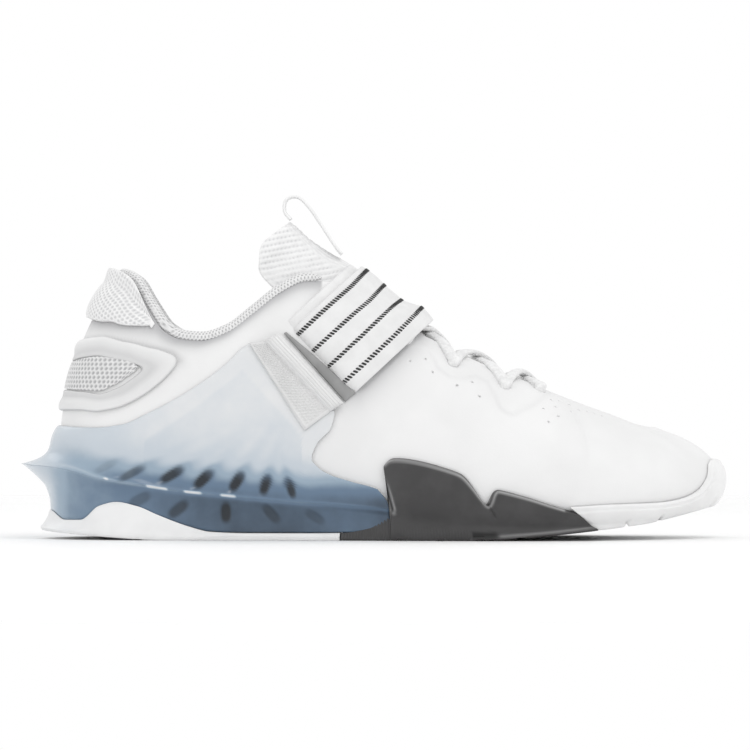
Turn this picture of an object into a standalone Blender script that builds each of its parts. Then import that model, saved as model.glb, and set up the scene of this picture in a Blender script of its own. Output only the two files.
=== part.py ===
"""A right weightlifting shoe: a hollow moulded upper on a flared translucent heel wedge and a
rubber sole, with a padded tongue, laces, a wide instep strap and its keeper.

The toe points along +X, the outer (lateral) side faces -Y and the floor is Z = 0. Lengths are metres.
"""

import math

import bmesh
import bpy
import numpy as np
from mathutils import Vector
from mathutils.bvhtree import BVHTree

MM = 0.001

# The last: the outside of the upper.
UPPER_LENGTH = 0.2834
BALL_WIDTH = 0.0985
COLLAR_HEIGHT = 0.1160
HEEL_LIFT = 0.0258
FOREFOOT_LIFT = 0.0080
TOE_SPRING = 0.0060
UPPER_WALL = 2.2 * MM
ORIGIN_SHARE = 0.478

# The sole.
TREAD = 3.0 * MM
OUTSOLE_HEEL_OVERHANG = 5.5 * MM
OUTSOLE_PEAK = 13.8 * MM
HEEL_BEVEL = 3.6 * MM
WEDGE_LIP = 1.0 * MM
WEDGE_FLARE = 7.0 * MM
WEDGE_SPUR = 9.0 * MM
FLANGE_HEIGHT = 27.0 * MM
FLANGE_WALL = 2.4 * MM
TOE_LIFT = 11.2 * MM
TOE_RAND_WALL = 3.2 * MM
TOE_RAND_HEIGHT = 12.5 * MM
GROOVE_WIDTH = 2.0 * MM
GROOVE_DEPTH = 1.6 * MM

# What goes on the upper.
HEEL_PAD_WALL = 4.2 * MM
FRAME_RISE = 1.3 * MM
MESH_RISE = 0.5 * MM
COLLAR_BEAD = 4.6 * MM
INSOLE_THICKNESS = 4.0 * MM
TONGUE_THICKNESS = 3.0 * MM
TONGUE_PADDING = 5.5 * MM
TONGUE_RISE = 16.0 * MM
LACE_WIDTH = 4.4 * MM
LACE_THICKNESS = 1.7 * MM
EYELET_RADIUS = 2.4 * MM
LACE_PEG_RADIUS = 1.7 * MM
STRAP_WIDTH = 0.0385
STRAP_THICKNESS = 1.6 * MM
STRAP_LINING_MARGIN = 4.0 * MM
STRAP_LINING_THICKNESS = 1.2 * MM
KEEPER_LENGTH = 0.0265
KEEPER_BAR = 8.5 * MM
KEEPER_BAR_THICKNESS = 2.6 * MM
KEEPER_BASE_THICKNESS = 1.2 * MM
PULL_LOOP_WIDTH = 0.0140
PULL_LOOP_THICKNESS = 1.5 * MM

# Touching pieces stand this far apart.
GAP = 0.3 * MM

# Columns of the upper's skin on each side, and rows up it.
COLUMNS = 32
ROWS = 8

# Each column of the skin is a curve with four control points, one on each of these levels. A level
# starts at the heel and ends at the toe at these shares of UPPER_LENGTH.
LEVEL_ENDS = {
    "feather": (0.009, 0.983),
    "belly": (-0.015, 1.014),
    "shoulder": (0.017, 1.014),
    "top": (0.088, 0.903),
}

# One row for each section of the last, at a share of its length. Centre and half widths are shares
# of BALL_WIDTH, drop is the share of the heel's extra lift, spring that of TOE_SPRING, and the rises
# are shares of the wall's height from the feather line to the top.
SECTION_COLUMNS = (
    "at", "centre", "feather", "belly", "shoulder", "drop", "spring", "belly_rise", "shoulder_rise"
)
SECTIONS = (
    (0.00, 0.000, 0.300, 0.360, 0.330, 1.00, 0.00, 0.25, 0.68),
    (0.12, 0.000, 0.300, 0.360, 0.325, 1.00, 0.00, 0.25, 0.68),
    (0.25, -0.005, 0.315, 0.385, 0.335, 0.86, 0.00, 0.24, 0.70),
    (0.38, -0.025, 0.325, 0.405, 0.345, 0.52, 0.00, 0.22, 0.76),
    (0.50, -0.042, 0.360, 0.460, 0.365, 0.22, 0.00, 0.22, 0.80),
    (0.62, -0.040, 0.405, 0.525, 0.405, 0.05, 0.00, 0.24, 0.85),
    (0.72, -0.025, 0.435, 0.560, 0.430, 0.00, 0.00, 0.26, 0.88),
    (0.82, 0.000, 0.435, 0.565, 0.430, 0.00, 0.12, 0.29, 0.86),
    (0.91, 0.035, 0.420, 0.550, 0.400, 0.00, 0.45, 0.29, 0.82),
    (1.00, 0.075, 0.410, 0.535, 0.370, 0.00, 1.00, 0.27, 0.75),
)

# The collar and throat edge, and past the throat the ridge of the vamp. Half width is a share of
# BALL_WIDTH, height of COLLAR_HEIGHT, and shift moves the edge's middle towards the big toe.
TOPLINE_COLUMNS = ("at", "half_width", "height", "shift")
TOPLINE = (
    (0.000, 0.235, 0.965, 0.000),
    (0.030, 0.240, 0.938, 0.000),
    (0.060, 0.248, 0.848, 0.000),
    (0.090, 0.255, 0.765, 0.000),
    (0.120, 0.262, 0.735, 0.005),
    (0.155, 0.268, 0.729, 0.010),
    (0.200, 0.270, 0.755, 0.015),
    (0.250, 0.266, 0.825, 0.020),
    (0.300, 0.254, 0.900, 0.025),
    (0.350, 0.232, 0.945, 0.030),
    (0.395, 0.205, 0.948, 0.035),
    (0.440, 0.182, 0.905, 0.040),
    (0.500, 0.168, 0.819, 0.045),
    (0.600, 0.155, 0.712, 0.045),
    (0.700, 0.140, 0.619, 0.040),
    (0.795, 0.120, 0.547, 0.030),
    (0.900, 0.100, 0.468, 0.020),
    (1.000, 0.080, 0.408, 0.000),
)
THROAT_END = 0.795
THROAT_ROUND = 0.045
HEEL_ROUND = 0.125
TOE_ROUND = 0.235
HEEL_POWER = 2.1
TOE_POWER = 2.15


def along(share):
    """The x of a share of the upper's length from the heel."""
    return (share - ORIGIN_SHARE) * UPPER_LENGTH


def smooth(at, table_at, values):
    """A smooth curve through a table's values that never overshoots them."""
    table_at = np.asarray(table_at, float)
    values = np.asarray(values, float)
    steps = np.diff(table_at)
    slopes = np.diff(values) / steps
    tangents = np.zeros(len(values))
    for i in range(1, len(values) - 1):
        before, after = slopes[i - 1], slopes[i]
        if before * after > 0:
            w1 = 2 * steps[i] + steps[i - 1]
            w2 = steps[i] + 2 * steps[i - 1]
            tangents[i] = (w1 + w2) / (w1 / before + w2 / after)
    at = np.clip(at, table_at[0], table_at[-1])
    i = np.clip(np.searchsorted(table_at, at, side="right") - 1, 0, len(steps) - 1)
    h = steps[i]
    s = (at - table_at[i]) / h
    return (
        values[i] * (1 + 2 * s) * (1 - s) ** 2
        + tangents[i] * h * s * (1 - s) ** 2
        + values[i + 1] * s * s * (3 - 2 * s)
        + tangents[i + 1] * h * s * s * (s - 1)
    )


def table_column(table, columns, name, at):
    """One named column of a table, read smoothly at a share of the length."""
    column = columns.index(name)
    return smooth(at, [row[0] for row in table], [row[column] for row in table])


def section(name, at):
    return table_column(SECTIONS, SECTION_COLUMNS, name, at)


def topline(name, at):
    return table_column(TOPLINE, TOPLINE_COLUMNS, name, at)


def rounded(distance, reach, power):
    """From 0 at an end to 1 at the reach, with the round plan of a heel or toe."""
    share = 1 - np.clip(distance / reach, 0, 1)
    return (1 - share**power) ** (1 / power)


def feather_height(at):
    lift = FOREFOOT_LIFT + (HEEL_LIFT - FOREFOOT_LIFT) * section("drop", at)
    return lift + TOE_SPRING * section("spring", at)


def control_points(at, side):
    """The four control points of the column at a share of the length; side is -1 lateral, +1 medial."""
    at = np.asarray(at, float)
    ends = rounded(at, HEEL_ROUND, HEEL_POWER) * rounded(1 - at, TOE_ROUND, TOE_POWER)
    low = feather_height(at)
    high = topline("height", at) * COLLAR_HEIGHT
    centre = section("centre", at) * BALL_WIDTH
    top_centre = centre + topline("shift", at) * BALL_WIDTH
    open_share = rounded(np.maximum(THROAT_END - at, 0), THROAT_ROUND, 2.0)
    top_half = topline("half_width", at) * open_share * rounded(at, HEEL_ROUND, HEEL_POWER)
    levels = (
        ("feather", centre, section("feather", at) * ends, low),
        ("belly", centre, section("belly", at) * ends, low + section("belly_rise", at) * (high - low)),
        ("shoulder", 0.6 * centre + 0.4 * top_centre, section("shoulder", at) * ends,
         low + section("shoulder_rise", at) * (high - low)),
        ("top", top_centre, top_half, high),
    )
    points = []
    for level, middle, half_width, height in levels:
        start, end = LEVEL_ENDS[level]
        x = along(start + (end - start) * at)
        points.append(np.stack([x, middle + side * half_width * BALL_WIDTH, height + 0 * at], -1))
    return points


def bezier(points, v):
    p0, p1, p2, p3 = points
    v = np.asarray(v, float)[..., None]
    w = 1 - v
    return p0 * w**3 + 3 * p1 * w * w * v + 3 * p2 * w * v * v + p3 * v**3


def perimeter_table():
    """How the share of the length grows with the share of the way round from heel to toe."""
    at = 0.5 - 0.5 * np.cos(np.linspace(0, math.pi, 801))
    low = bezier(control_points(at, 1), np.full(len(at), 0.3))
    low[:, 1] -= section("centre", at) * BALL_WIDTH
    way = np.concatenate([[0], np.cumsum(np.linalg.norm(np.diff(low[:, :2], axis=0), axis=1))])
    return way / way[-1], at


WAY, WAY_AT = perimeter_table()


def at_of(u):
    """Share of the length at a way round u: 0 at the heel, 1 at the toe, negative on the lateral side."""
    return np.interp(np.abs(u), WAY, WAY_AT)


def way_of(at):
    return np.interp(at, WAY_AT, WAY)


def skin_raw(u, v):
    u = np.asarray(u, float)
    u = (u + 1) % 2 - 1
    side = np.where(u < 0, -1.0, 1.0)
    return bezier(control_points(at_of(u), side), v)


def skin_normal(u, v):
    """The outward normal of the skin."""
    step = 2e-3
    v = np.clip(np.asarray(v, float), 0.01, 0.985)
    du = skin_raw(u + step, v) - skin_raw(u - step, v)
    dv = skin_raw(u, v + 0.01) - skin_raw(u, v - 0.01)
    n = np.cross(dv, du)
    return n / np.linalg.norm(n, axis=-1, keepdims=True)


def skin(u, v, offset=0.0):
    """A point on the upper's skin, or that far outside it."""
    u, v = np.broadcast_arrays(np.asarray(u, float), np.asarray(v, float))
    return skin_raw(u, v) + skin_normal(u, v) * np.asarray(offset, float)[..., None]


# A fine net of the skin seen from the side, to look places up by x and z.
NET_U = np.linspace(0, 1, 241)
NET_V = np.linspace(0, 1, 61)
NET = skin_raw(NET_U[:, None] + 0 * NET_V, NET_V + 0 * NET_U[:, None])
PROFILE_V = np.linspace(0, 1, 41)


def u_v_of(x, z):
    """The way round and the share up the skin of a place seen from the side."""
    xs = np.empty(len(NET_U))
    vs = np.empty(len(NET_U))
    for i in range(len(NET_U)):
        vs[i] = np.interp(z, NET[i, :, 2], NET_V)
        xs[i] = np.interp(vs[i], NET_V, NET[i, :, 0])
    u = float(np.interp(x, xs, NET_U))
    return u, float(np.interp(u, NET_U, vs))


def skin_from_side(x, z, side, offset=0.0):
    u, v = u_v_of(x, z)
    return skin(side * u, v, offset)


def shell_point(u, z, out):
    """The point at height z on the surface that far outside the skin. Below its edge it goes
    straight down."""
    profile = skin(np.full(len(PROFILE_V), float(u)), PROFILE_V, out)
    heights = np.maximum.accumulate(profile[:, 2])
    return np.array([
        np.interp(z, heights, profile[:, 0]), np.interp(z, heights, profile[:, 1]), z
    ])


def spot_height(u, v):
    return float(skin_raw(float(u), float(v))[2])


def edge_heights(rows):
    """Heights along the way round, from places seen from the side as shares of the upper's length
    and of the collar's height."""
    ways = []
    heights = []
    for share, height in rows:
        u, _ = u_v_of(along(share), height * COLLAR_HEIGHT)
        if ways and u <= ways[-1]:
            u = ways[-1] + 1e-4
        ways.append(u)
        heights.append(height * COLLAR_HEIGHT)
    return np.array(ways), np.array(heights)


def material(name, colour, roughness, alpha=1.0, transmission=0.0):
    m = bpy.data.materials.new(name)
    m.use_nodes = True
    shader = m.node_tree.nodes["Principled BSDF"]
    shader.inputs["Base Color"].default_value = (*colour, 1)
    shader.inputs["Roughness"].default_value = roughness
    shader.inputs["Transmission Weight"].default_value = transmission
    shader.inputs["Alpha"].default_value = alpha
    m.diffuse_color = (*colour, alpha)
    return m


def clean(mesh):
    """Joins doubled points, turns the faces out and shades smoothly."""
    bm = bmesh.new()
    bm.from_mesh(mesh)
    bmesh.ops.remove_doubles(bm, verts=bm.verts, dist=2e-6)
    bmesh.ops.dissolve_degenerate(bm, edges=bm.edges, dist=1e-6)
    bmesh.ops.recalc_face_normals(bm, faces=bm.faces)
    if bm.calc_volume(signed=True) < 0:
        bmesh.ops.reverse_faces(bm, faces=bm.faces)
    bm.to_mesh(mesh)
    bm.free()
    mesh.shade_smooth()
    mesh.set_sharp_from_angle(angle=math.radians(38))


def mesh_object(name, points, faces, finish):
    mesh = bpy.data.meshes.new(name)
    mesh.from_pydata([tuple(map(float, p)) for p in points], [], faces)
    obj = bpy.data.objects.new(name, mesh)
    bpy.context.scene.collection.objects.link(obj)
    clean(mesh)
    mesh.materials.append(finish)
    return obj


def split(a, b, c, d, flip=False):
    """Two triangles for a quad, always split from its first corner."""
    return [[a, c, b], [a, d, c]] if flip else [[a, b, c], [a, c, d]]


def grid_corners(i, k, j, columns, mirrored):
    """A quad's corners as row and column, from the corner that its diagonal starts at. A mirrored
    grid runs from edge to edge across the shoe, and its diagonals mirror at the middle."""
    if mirrored and 2 * j >= columns - 1:
        return (k, j), (k, j + 1), (i, j + 1), (i, j)
    return (i, j), (k, j), (k, j + 1), (i, j + 1)


def grid_faces(rows, columns, start=0, closed=False, flip=False, mirrored=False):
    """Triangles over a grid of points stored row by row."""
    faces = []
    for i in range(rows - 1 + (1 if closed else 0)):
        k = (i + 1) % rows
        for j in range(columns - 1):
            corners = grid_corners(i, k, j, columns, mirrored)
            faces += split(*[start + row * columns + column for row, column in corners], flip)
    return faces


def slab(name, inner, outer, finish, close_start=True, close_end=True, closed=False, mirrored=False):
    """A closed solid between two grids of points of the same size. A start or end that is not
    closed lies on itself, as at the tip of a heel or toe."""
    inner, outer = np.asarray(inner, float), np.asarray(outer, float)
    rows, columns = inner.shape[:2]
    count = rows * columns
    points = np.concatenate([inner.reshape(-1, 3), outer.reshape(-1, 3)])
    faces = grid_faces(rows, columns, 0, closed, True, mirrored)
    faces += grid_faces(rows, columns, count, closed, False, mirrored)
    for i in range(rows - 1 + (1 if closed else 0)):
        for j in (0, columns - 1):
            a, b = i * columns + j, ((i + 1) % rows) * columns + j
            faces += split(a, b, b + count, a + count, j > 0)
    for i, close in ((0, close_start), (rows - 1, close_end)):
        if close and not closed:
            for j in range(columns - 1):
                a, b = i * columns + j, i * columns + j + 1
                corners = (a, a + count, b + count, b) if 2 * j < columns - 1 else (b, a, a + count, b + count)
                faces += split(*corners, i > 0)
    return mesh_object(name, points, faces, finish)


def tree_of(objects):
    """A tree of several objects' faces, to measure distances and cast rays at."""
    points = []
    faces = []
    for obj in objects:
        start = len(points)
        points += [tuple(v.co) for v in obj.data.vertices]
        faces += [[start + i for i in p.vertices] for p in obj.data.polygons]
    return BVHTree.FromPolygons([Vector(p) for p in points], faces)


def inside(tree, point):
    way = Vector((0.21, 0.37, 0.91))
    start = Vector(point)
    crossings = 0
    hit = tree.ray_cast(start, way)
    while hit[0] is not None:
        crossings += 1
        start = hit[0] + way * 1e-6
        hit = tree.ray_cast(start, way)
    return crossings % 2 == 1


def clearance(tree, point):
    """How far a point stands outside closed pieces; negative inside them."""
    place, normal, _, distance = tree.find_nearest(Vector(point))
    if (Vector(point) - place).dot(normal) < 0 and inside(tree, point):
        return -distance
    return distance


SAMPLES = [np.array(w) / 4 for w in (
    (4, 0, 0), (0, 4, 0), (0, 0, 4), (2, 2, 0), (0, 2, 2), (2, 0, 2), (3, 1, 0), (0, 3, 1),
    (1, 0, 3), (1, 3, 0), (0, 1, 3), (3, 0, 1), (2, 1, 1), (1, 2, 1), (1, 1, 2),
)]


def seated(facing, backing, tree, gap=GAP, closed=False, side_points=0):
    """Moves two grids of points away from what the first one faces, until it keeps the gap
    between its points too. The way to go is from the first grid to the second. A lip that wraps
    under the upper states how many points of each row lie on its side: those go straight out,
    and the rest go down, without the tread."""
    facing, backing = np.array(facing, float), np.array(backing, float)
    away = backing - facing
    follow = np.ones(facing.shape[1])
    if side_points:
        away[..., 2] = 0
        away[:, side_points:-side_points] = (0, 0, -1)
        follow[side_points:-side_points] = 0
    away /= np.maximum(np.linalg.norm(away, axis=-1, keepdims=True), 1e-9)
    rows, columns = facing.shape[:2]
    for _ in range(4):
        push = np.zeros((rows, columns))
        for i in range(rows - 1 + (1 if closed else 0)):
            k = (i + 1) % rows
            for j in range(columns - 1):
                a, b, c, d = grid_corners(i, k, j, columns, side_points > 0)
                for places in ((a, b, c), (a, c, d)):
                    corners = np.array([facing[place] for place in places])
                    need = gap - min(clearance(tree, w @ corners) for w in SAMPLES)
                    for place in places:
                        push[place] = max(push[place], need)
        if push.max() < 1e-5:
            break
        facing += away * push[..., None]
        backing += away * (push * follow)[..., None]
    return facing, backing


def boolean(obj, other, operation):
    """Joins or cuts with another object, which is then removed."""
    modifier = obj.modifiers.new(operation, "BOOLEAN")
    modifier.operation = operation
    modifier.solver = "EXACT"
    modifier.object = other
    depsgraph = bpy.context.evaluated_depsgraph_get()
    made = bpy.data.meshes.new_from_object(obj.evaluated_get(depsgraph))
    obj.modifiers.clear()
    obj.data = made
    made.shade_smooth()
    made.set_sharp_from_angle(angle=math.radians(38))
    bpy.data.objects.remove(other)


def box(low, high, finish):
    """A plain box, used to cut grooves."""
    points = [(x, y, z) for x in (low[0], high[0]) for y in (low[1], high[1]) for z in (low[2], high[2])]
    faces = [(0, 1, 3, 2), (4, 6, 7, 5), (0, 4, 5, 1), (2, 3, 7, 6), (0, 2, 6, 4), (1, 5, 7, 3)]
    return mesh_object("cutter", points, faces, finish)


def prism(start, end, radius, sides, finish, name="cutter"):
    """A round peg between two points."""
    start, end = np.asarray(start, float), np.asarray(end, float)
    axis = (end - start) / np.linalg.norm(end - start)
    across = np.cross(axis, (0.31, 0.57, 0.76))
    across /= np.linalg.norm(across)
    other = np.cross(axis, across)
    turns = np.arange(sides) * 2 * math.pi / sides
    ring = [across * math.cos(t) * radius + other * math.sin(t) * radius for t in turns]
    points = [start + r for r in ring] + [end + r for r in ring]
    faces = [list(range(sides))[::-1], list(range(sides, 2 * sides))]
    faces += [[i, (i + 1) % sides, sides + (i + 1) % sides, sides + i] for i in range(sides)]
    return mesh_object(name, points, faces, finish)


def column_ways():
    """The ways round of the skin's columns, closer together at the heel, the throat's end and the toe."""
    ways = np.linspace(0, 1, COLUMNS + 1)
    end = float(way_of(THROAT_END))
    ways[np.abs(ways - end).argmin()] = end
    extra = [ways[1] / 2, (ways[1] + ways[2]) / 2, float(way_of(THROAT_END - 0.25 * THROAT_ROUND)),
             float(way_of(0.982))]
    return np.unique(np.round(np.concatenate([ways, extra]), 6))


WAYS = column_ways()


def ways_between(start, end, margin=0.004):
    return [w for w in WAYS if start + margin < w < end - margin]


def make_upper(finish):
    """The hollow upper, open at the collar, at the throat and underneath."""
    ring = np.concatenate([-WAYS[:0:-1], WAYS[:-1]])
    v = np.linspace(0, 1, ROWS + 1)
    outer = np.array([skin_raw(np.full(len(v), u), v) for u in ring])
    inner = np.array([skin(np.full(len(v), u), v, -UPPER_WALL) for u in ring])
    throat = float(way_of(THROAT_END)) - 1e-5
    on_ridge = np.abs(ring) >= throat
    # Past the throat both sides meet on the ridge, in the same points.
    for i, u in enumerate(ring):
        if on_ridge[i] and u > 0:
            other = int(np.abs(ring + u).argmin())
            for face in (inner, outer):
                face[i, -1] = face[other, -1] = (face[i, -1] + face[other, -1]) / 2
    inner[0, -1, 1] = outer[0, -1, 1]
    rows, columns = len(ring), len(v)
    count = rows * columns
    points = np.concatenate([outer.reshape(-1, 3), inner.reshape(-1, 3)])
    faces = grid_faces(rows, columns, closed=True)
    faces += grid_faces(rows, columns, start=count, closed=True, flip=True)
    for i in range(rows):
        a, b = i * columns, ((i + 1) % rows) * columns
        faces += split(a, b, b + count, a + count, True)
        if not (on_ridge[i] and on_ridge[(i + 1) % rows]):
            a, b = a + columns - 1, b + columns - 1
            faces += split(a, b, b + count, a + count)
    obj = mesh_object("upper", points, faces, finish)
    for at, v_hole in EYELETS:
        for side in (-1, 1):
            u = side * way_of(at)
            peg = prism(skin(u, v_hole, 4 * MM), skin(u, v_hole, -6 * MM), EYELET_RADIUS, 6, finish)
            boolean(obj, peg, "DIFFERENCE")
    return obj


# The lace holes, from the toe up: share of the length and share up the skin.
EYELETS = (
    (0.768, 0.940),
    (0.703, 0.930),
    (0.618, 0.930),
    (0.530, 0.930),
)


def spoke(at, z):
    """The point on the centre line that a section's floor runs to; near the ends the spokes meet."""
    held = np.clip(at, 0.10, 0.89)
    start, end = LEVEL_ENDS["feather"]
    return np.array([along(start + (end - start) * held), section("centre", held) * BALL_WIDTH, z])


def ground(at):
    """The height of the tread: flat under the foot, bevelled at the heel, sprung at the toe."""
    heel = HEEL_BEVEL * np.clip((0.15 - at) / 0.15, 0, 1) ** 1.4
    toe = TOE_LIFT * np.clip((at - 0.64) / 0.36, 0, 1) ** 1.4
    return float(heel + toe)


def blend(a, b, share):
    return a + (b - a) * share


def halves(make, row):
    """A section's points from the lateral edge through the centre line to the medial edge."""
    lateral = make(row, -1)
    medial = make(row, 1)
    return np.array(lateral + medial[::-1][1:])


def whole(rows, make):
    return np.array([halves(make, row) for row in rows])


def plain_row(way):
    return lambda z: float(at_of(way))


def floor_height(at):
    return float(feather_height(at)) - GAP


def make_insole(finish):
    inset = -(UPPER_WALL + 1.6 * MM)

    def face(lift):
        def make(way, side):
            at = float(at_of(way))
            z = float(feather_height(at)) + lift
            edge = shell_point(side * way, z, inset)
            middle = spoke(at, z)
            return [edge, middle]
        return make

    rows = list(WAYS)
    return slab(
        "insole", whole(rows, face(0.4 * MM)), whole(rows, face(INSOLE_THICKNESS)), finish, False, False,
        mirrored=True,
    )


# The top of the translucent wedge's film on the upper: shares of the length and of COLLAR_HEIGHT.
WEDGE_TOP = (
    (0.000, 0.419),
    (0.060, 0.412),
    (0.100, 0.424),
    (0.137, 0.464),
    (0.175, 0.512),
    (0.212, 0.567),
    (0.258, 0.652),
    (0.281, 0.707),
    (0.299, 0.722),
    (0.320, 0.692),
    (0.350, 0.620),
    (0.380, 0.550),
    (0.395, 0.500),
    (0.402, 0.250),
    (0.420, 0.224),
    (0.458, 0.189),
    (0.498, 0.174),
)

# The wedge below its film: the ridge's height and the foot's, as shares of HEEL_LIFT, and how far
# the waist, the ridge and the foot stand out, as shares of WEDGE_FLARE. Base is the outsole's edge.
WEDGE_COLUMNS = ("at", "ridge_height", "foot_height", "waist", "ridge", "foot", "base")
WEDGE = (
    (0.000, 1.245, 0.500, 0.62, 2.45, 0.98, 1.62),
    (0.020, 1.215, 0.345, 0.55, 1.95, 0.92, 1.50),
    (0.040, 1.150, 0.350, 0.48, 1.50, 0.86, 1.36),
    (0.065, 1.045, 0.585, 0.42, 1.30, 0.80, 1.22),
    (0.088, 0.985, 0.650, 0.38, 1.18, 0.74, 1.10),
    (0.115, 0.935, 0.585, 0.35, 1.10, 0.70, 1.02),
    (0.150, 0.870, 0.430, 0.28, 1.03, 0.66, 0.95),
    (0.200, 0.795, 0.235, 0.22, 0.97, 0.62, 0.88),
    (0.230, 0.765, 0.155, 0.19, 0.92, 0.58, 0.82),
    (0.290, 0.700, 0.132, 0.15, 0.82, 0.52, 0.72),
    (0.370, 0.630, 0.132, 0.15, 0.70, 0.45, 0.62),
    (0.430, 0.585, 0.140, 0.16, 0.60, 0.38, 0.54),
    (0.475, 0.540, 0.220, 0.21, 0.50, 0.30, 0.46),
    (0.508, 0.500, 0.420, 0.20, 0.42, 0.24, 0.40),
)
# The dark windows between the wedge's fins, seen from the side: place as shares of the length and
# of HEEL_LIFT, size as shares of WINDOW_LENGTH, and lean from upright in degrees.
WINDOW_COLUMNS = ("at", "height", "length", "width", "lean")
WINDOWS = (
    (0.1160, 1.085, 1.05, 0.34, 62),
    (0.1745, 1.075, 1.00, 0.36, 58),
    (0.2215, 1.000, 0.86, 0.40, 46),
    (0.2720, 0.965, 0.76, 0.42, 32),
    (0.3140, 0.905, 0.76, 0.40, 16),
    (0.3520, 0.850, 0.74, 0.32, -18),
    (0.1840, 0.500, 0.70, 0.36, 55),
    (0.2550, 0.440, 0.62, 0.44, 0),
    (0.3230, 0.400, 0.62, 0.40, -40),
)
WINDOW_LENGTH = 10.0 * MM
WEDGE_FRONT = 0.5077
WEDGE_FRONT_LEAN = 0.019
HEEL_OUTSOLE_END = 0.4300
LEDGE = 7.0 * MM
LIP_GAP = GAP + 0.15 * MM


def wedge(name, at):
    return table_column(WEDGE, WEDGE_COLUMNS, name, at)


def flange_back(z):
    """Where the forefoot's side flange starts, leaning back with height."""
    return WEDGE_FRONT - WEDGE_FRONT_LEAN * float(np.clip((z - 10.5 * MM) / (24.5 * MM), 0, 1))


def ledge_points(at, way, side, gap):
    """The joint between the wedge and the outsoles: down from the edge to the tread's height."""
    low = TREAD + gap + max(0.0, ground(at) * 0.6)
    foot = float(wedge("foot_height", at)) * HEEL_LIFT + gap
    low = min(low, foot)
    rise = np.clip((at - 0.455) / 0.05, 0, 1)
    low = blend(low, foot, rise)
    edge = shell_point(side * way, foot, float(wedge("foot", at)) * WEDGE_FLARE)
    held = min(low, TREAD + gap + 0.6 * ground(0.10)) if at < 0.10 else low
    middle = spoke(at, held)
    inward = middle[:2] - edge[:2]
    inward /= np.linalg.norm(inward)
    ledge = np.array([*(edge[:2] + inward * LEDGE), low])
    return edge, ledge, blend(ledge, middle, 0.5), middle


def window_cutter(at, z, length, width, lean, side, finish):
    """A leaning box that cuts one window into the wedge's side."""
    u, v = u_v_of(along(at), max(z, HEEL_LIFT))
    outward = skin_normal(np.array(side * u), np.array(v)) * (1, 1, 0)
    outward /= np.linalg.norm(outward)
    forward = np.array([-side * outward[1], side * outward[0], 0])
    if forward[0] < 0:
        forward = -forward
    turn = math.radians(lean)
    upright = np.array([0, 0, math.cos(turn)]) + forward * math.sin(turn)
    across = np.array([0, 0, -math.sin(turn)]) + forward * math.cos(turn)
    centre = shell_point(side * u, z, 0)
    points = []
    for depth in (-2.5 * MM, 12 * MM):
        for a, b in ((-1, -1), (1, -1), (1, 1), (-1, 1)):
            points.append(
                centre + outward * depth
                + across * a * width * WINDOW_LENGTH / 2 + upright * b * length * WINDOW_LENGTH / 2
            )
    faces = [(3, 2, 1, 0), (4, 5, 6, 7), (0, 1, 5, 4), (1, 2, 6, 5), (2, 3, 7, 6), (3, 0, 4, 7)]
    return mesh_object("cutter", points, faces, finish)


def make_heel_wedge(tree, finish):
    top_ways, top_heights = edge_heights(WEDGE_TOP)
    gap = 0.3 * MM

    def top_height(way):
        return float(np.interp(way, top_ways, top_heights))

    def inner(row, side):
        way = way_of(row(20 * MM))
        at = row(20 * MM)
        top = top_height(way)
        bottom = floor_height(at)
        points = []
        for share in (0, 0.2, 0.4, 0.6, 0.8, 1.0):
            z = blend(top, bottom, share)
            points.append(shell_point(side * way_of(row(z)), z, LIP_GAP))
        at = row(bottom)
        edge = points[-1]
        middle = spoke(at, floor_height(np.clip(at, 0.10, 1)))
        return points + [blend(edge, middle, 0.33), blend(edge, middle, 0.66), middle]

    def outer(row, side):
        way = way_of(row(20 * MM))
        at = row(20 * MM)
        top = top_height(way)
        ridge = float(wedge("ridge_height", at)) * HEEL_LIFT
        ridge = min(ridge, top - 1 * MM)
        waist_out = float(wedge("waist", at)) * WEDGE_FLARE
        ridge_out = float(wedge("ridge", at)) * WEDGE_FLARE
        foot_out = float(wedge("foot", at)) * WEDGE_FLARE
        foot = float(wedge("foot_height", at)) * HEEL_LIFT
        points = []
        for share in (0, 0.25, 0.55, 0.82, 1.0):
            z = blend(top, ridge, share)
            out = GAP + WEDGE_LIP + (waist_out - WEDGE_LIP) * (1 - (1 - share) ** 4) * (share > 0)
            out += (ridge_out - waist_out) * share**6
            points.append(shell_point(side * way_of(row(z)), z, out))
        for share in (0.3,):
            z = blend(ridge, foot, share)
            out = foot_out + (ridge_out - foot_out) * (1 - share) ** 2.2
            points.append(shell_point(side * way_of(row(z)), z, out))
        at = row(foot)
        edge, ledge, half, middle = ledge_points(at, way_of(at), side, gap)
        return points + [edge, ledge, middle]

    def front(z):
        return flange_back(z) - 0.0022

    ways = ways_between(0, way_of(flange_back(30 * MM)), 0.006)
    cliff = [float(w) for w, row in zip(top_ways, WEDGE_TOP) if row[0] in (0.395, 0.402)]
    ways = sorted([w for w in ways if min(abs(w - c) for c in cliff) > 0.004] + cliff)
    rows = [plain_row(0.0)] + [plain_row(w) for w in ways] + [front]
    faces = seated(whole(rows, inner), whole(rows, outer), tree, side_points=6)
    obj = slab("heel_wedge", *faces, finish, False, True, mirrored=True)
    for at, height, length, width, lean in WINDOWS:
        for side in (-1, 1):
            boolean(obj, window_cutter(at, height * HEEL_LIFT, length, width, lean, side, finish), "DIFFERENCE")
    return obj


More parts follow.
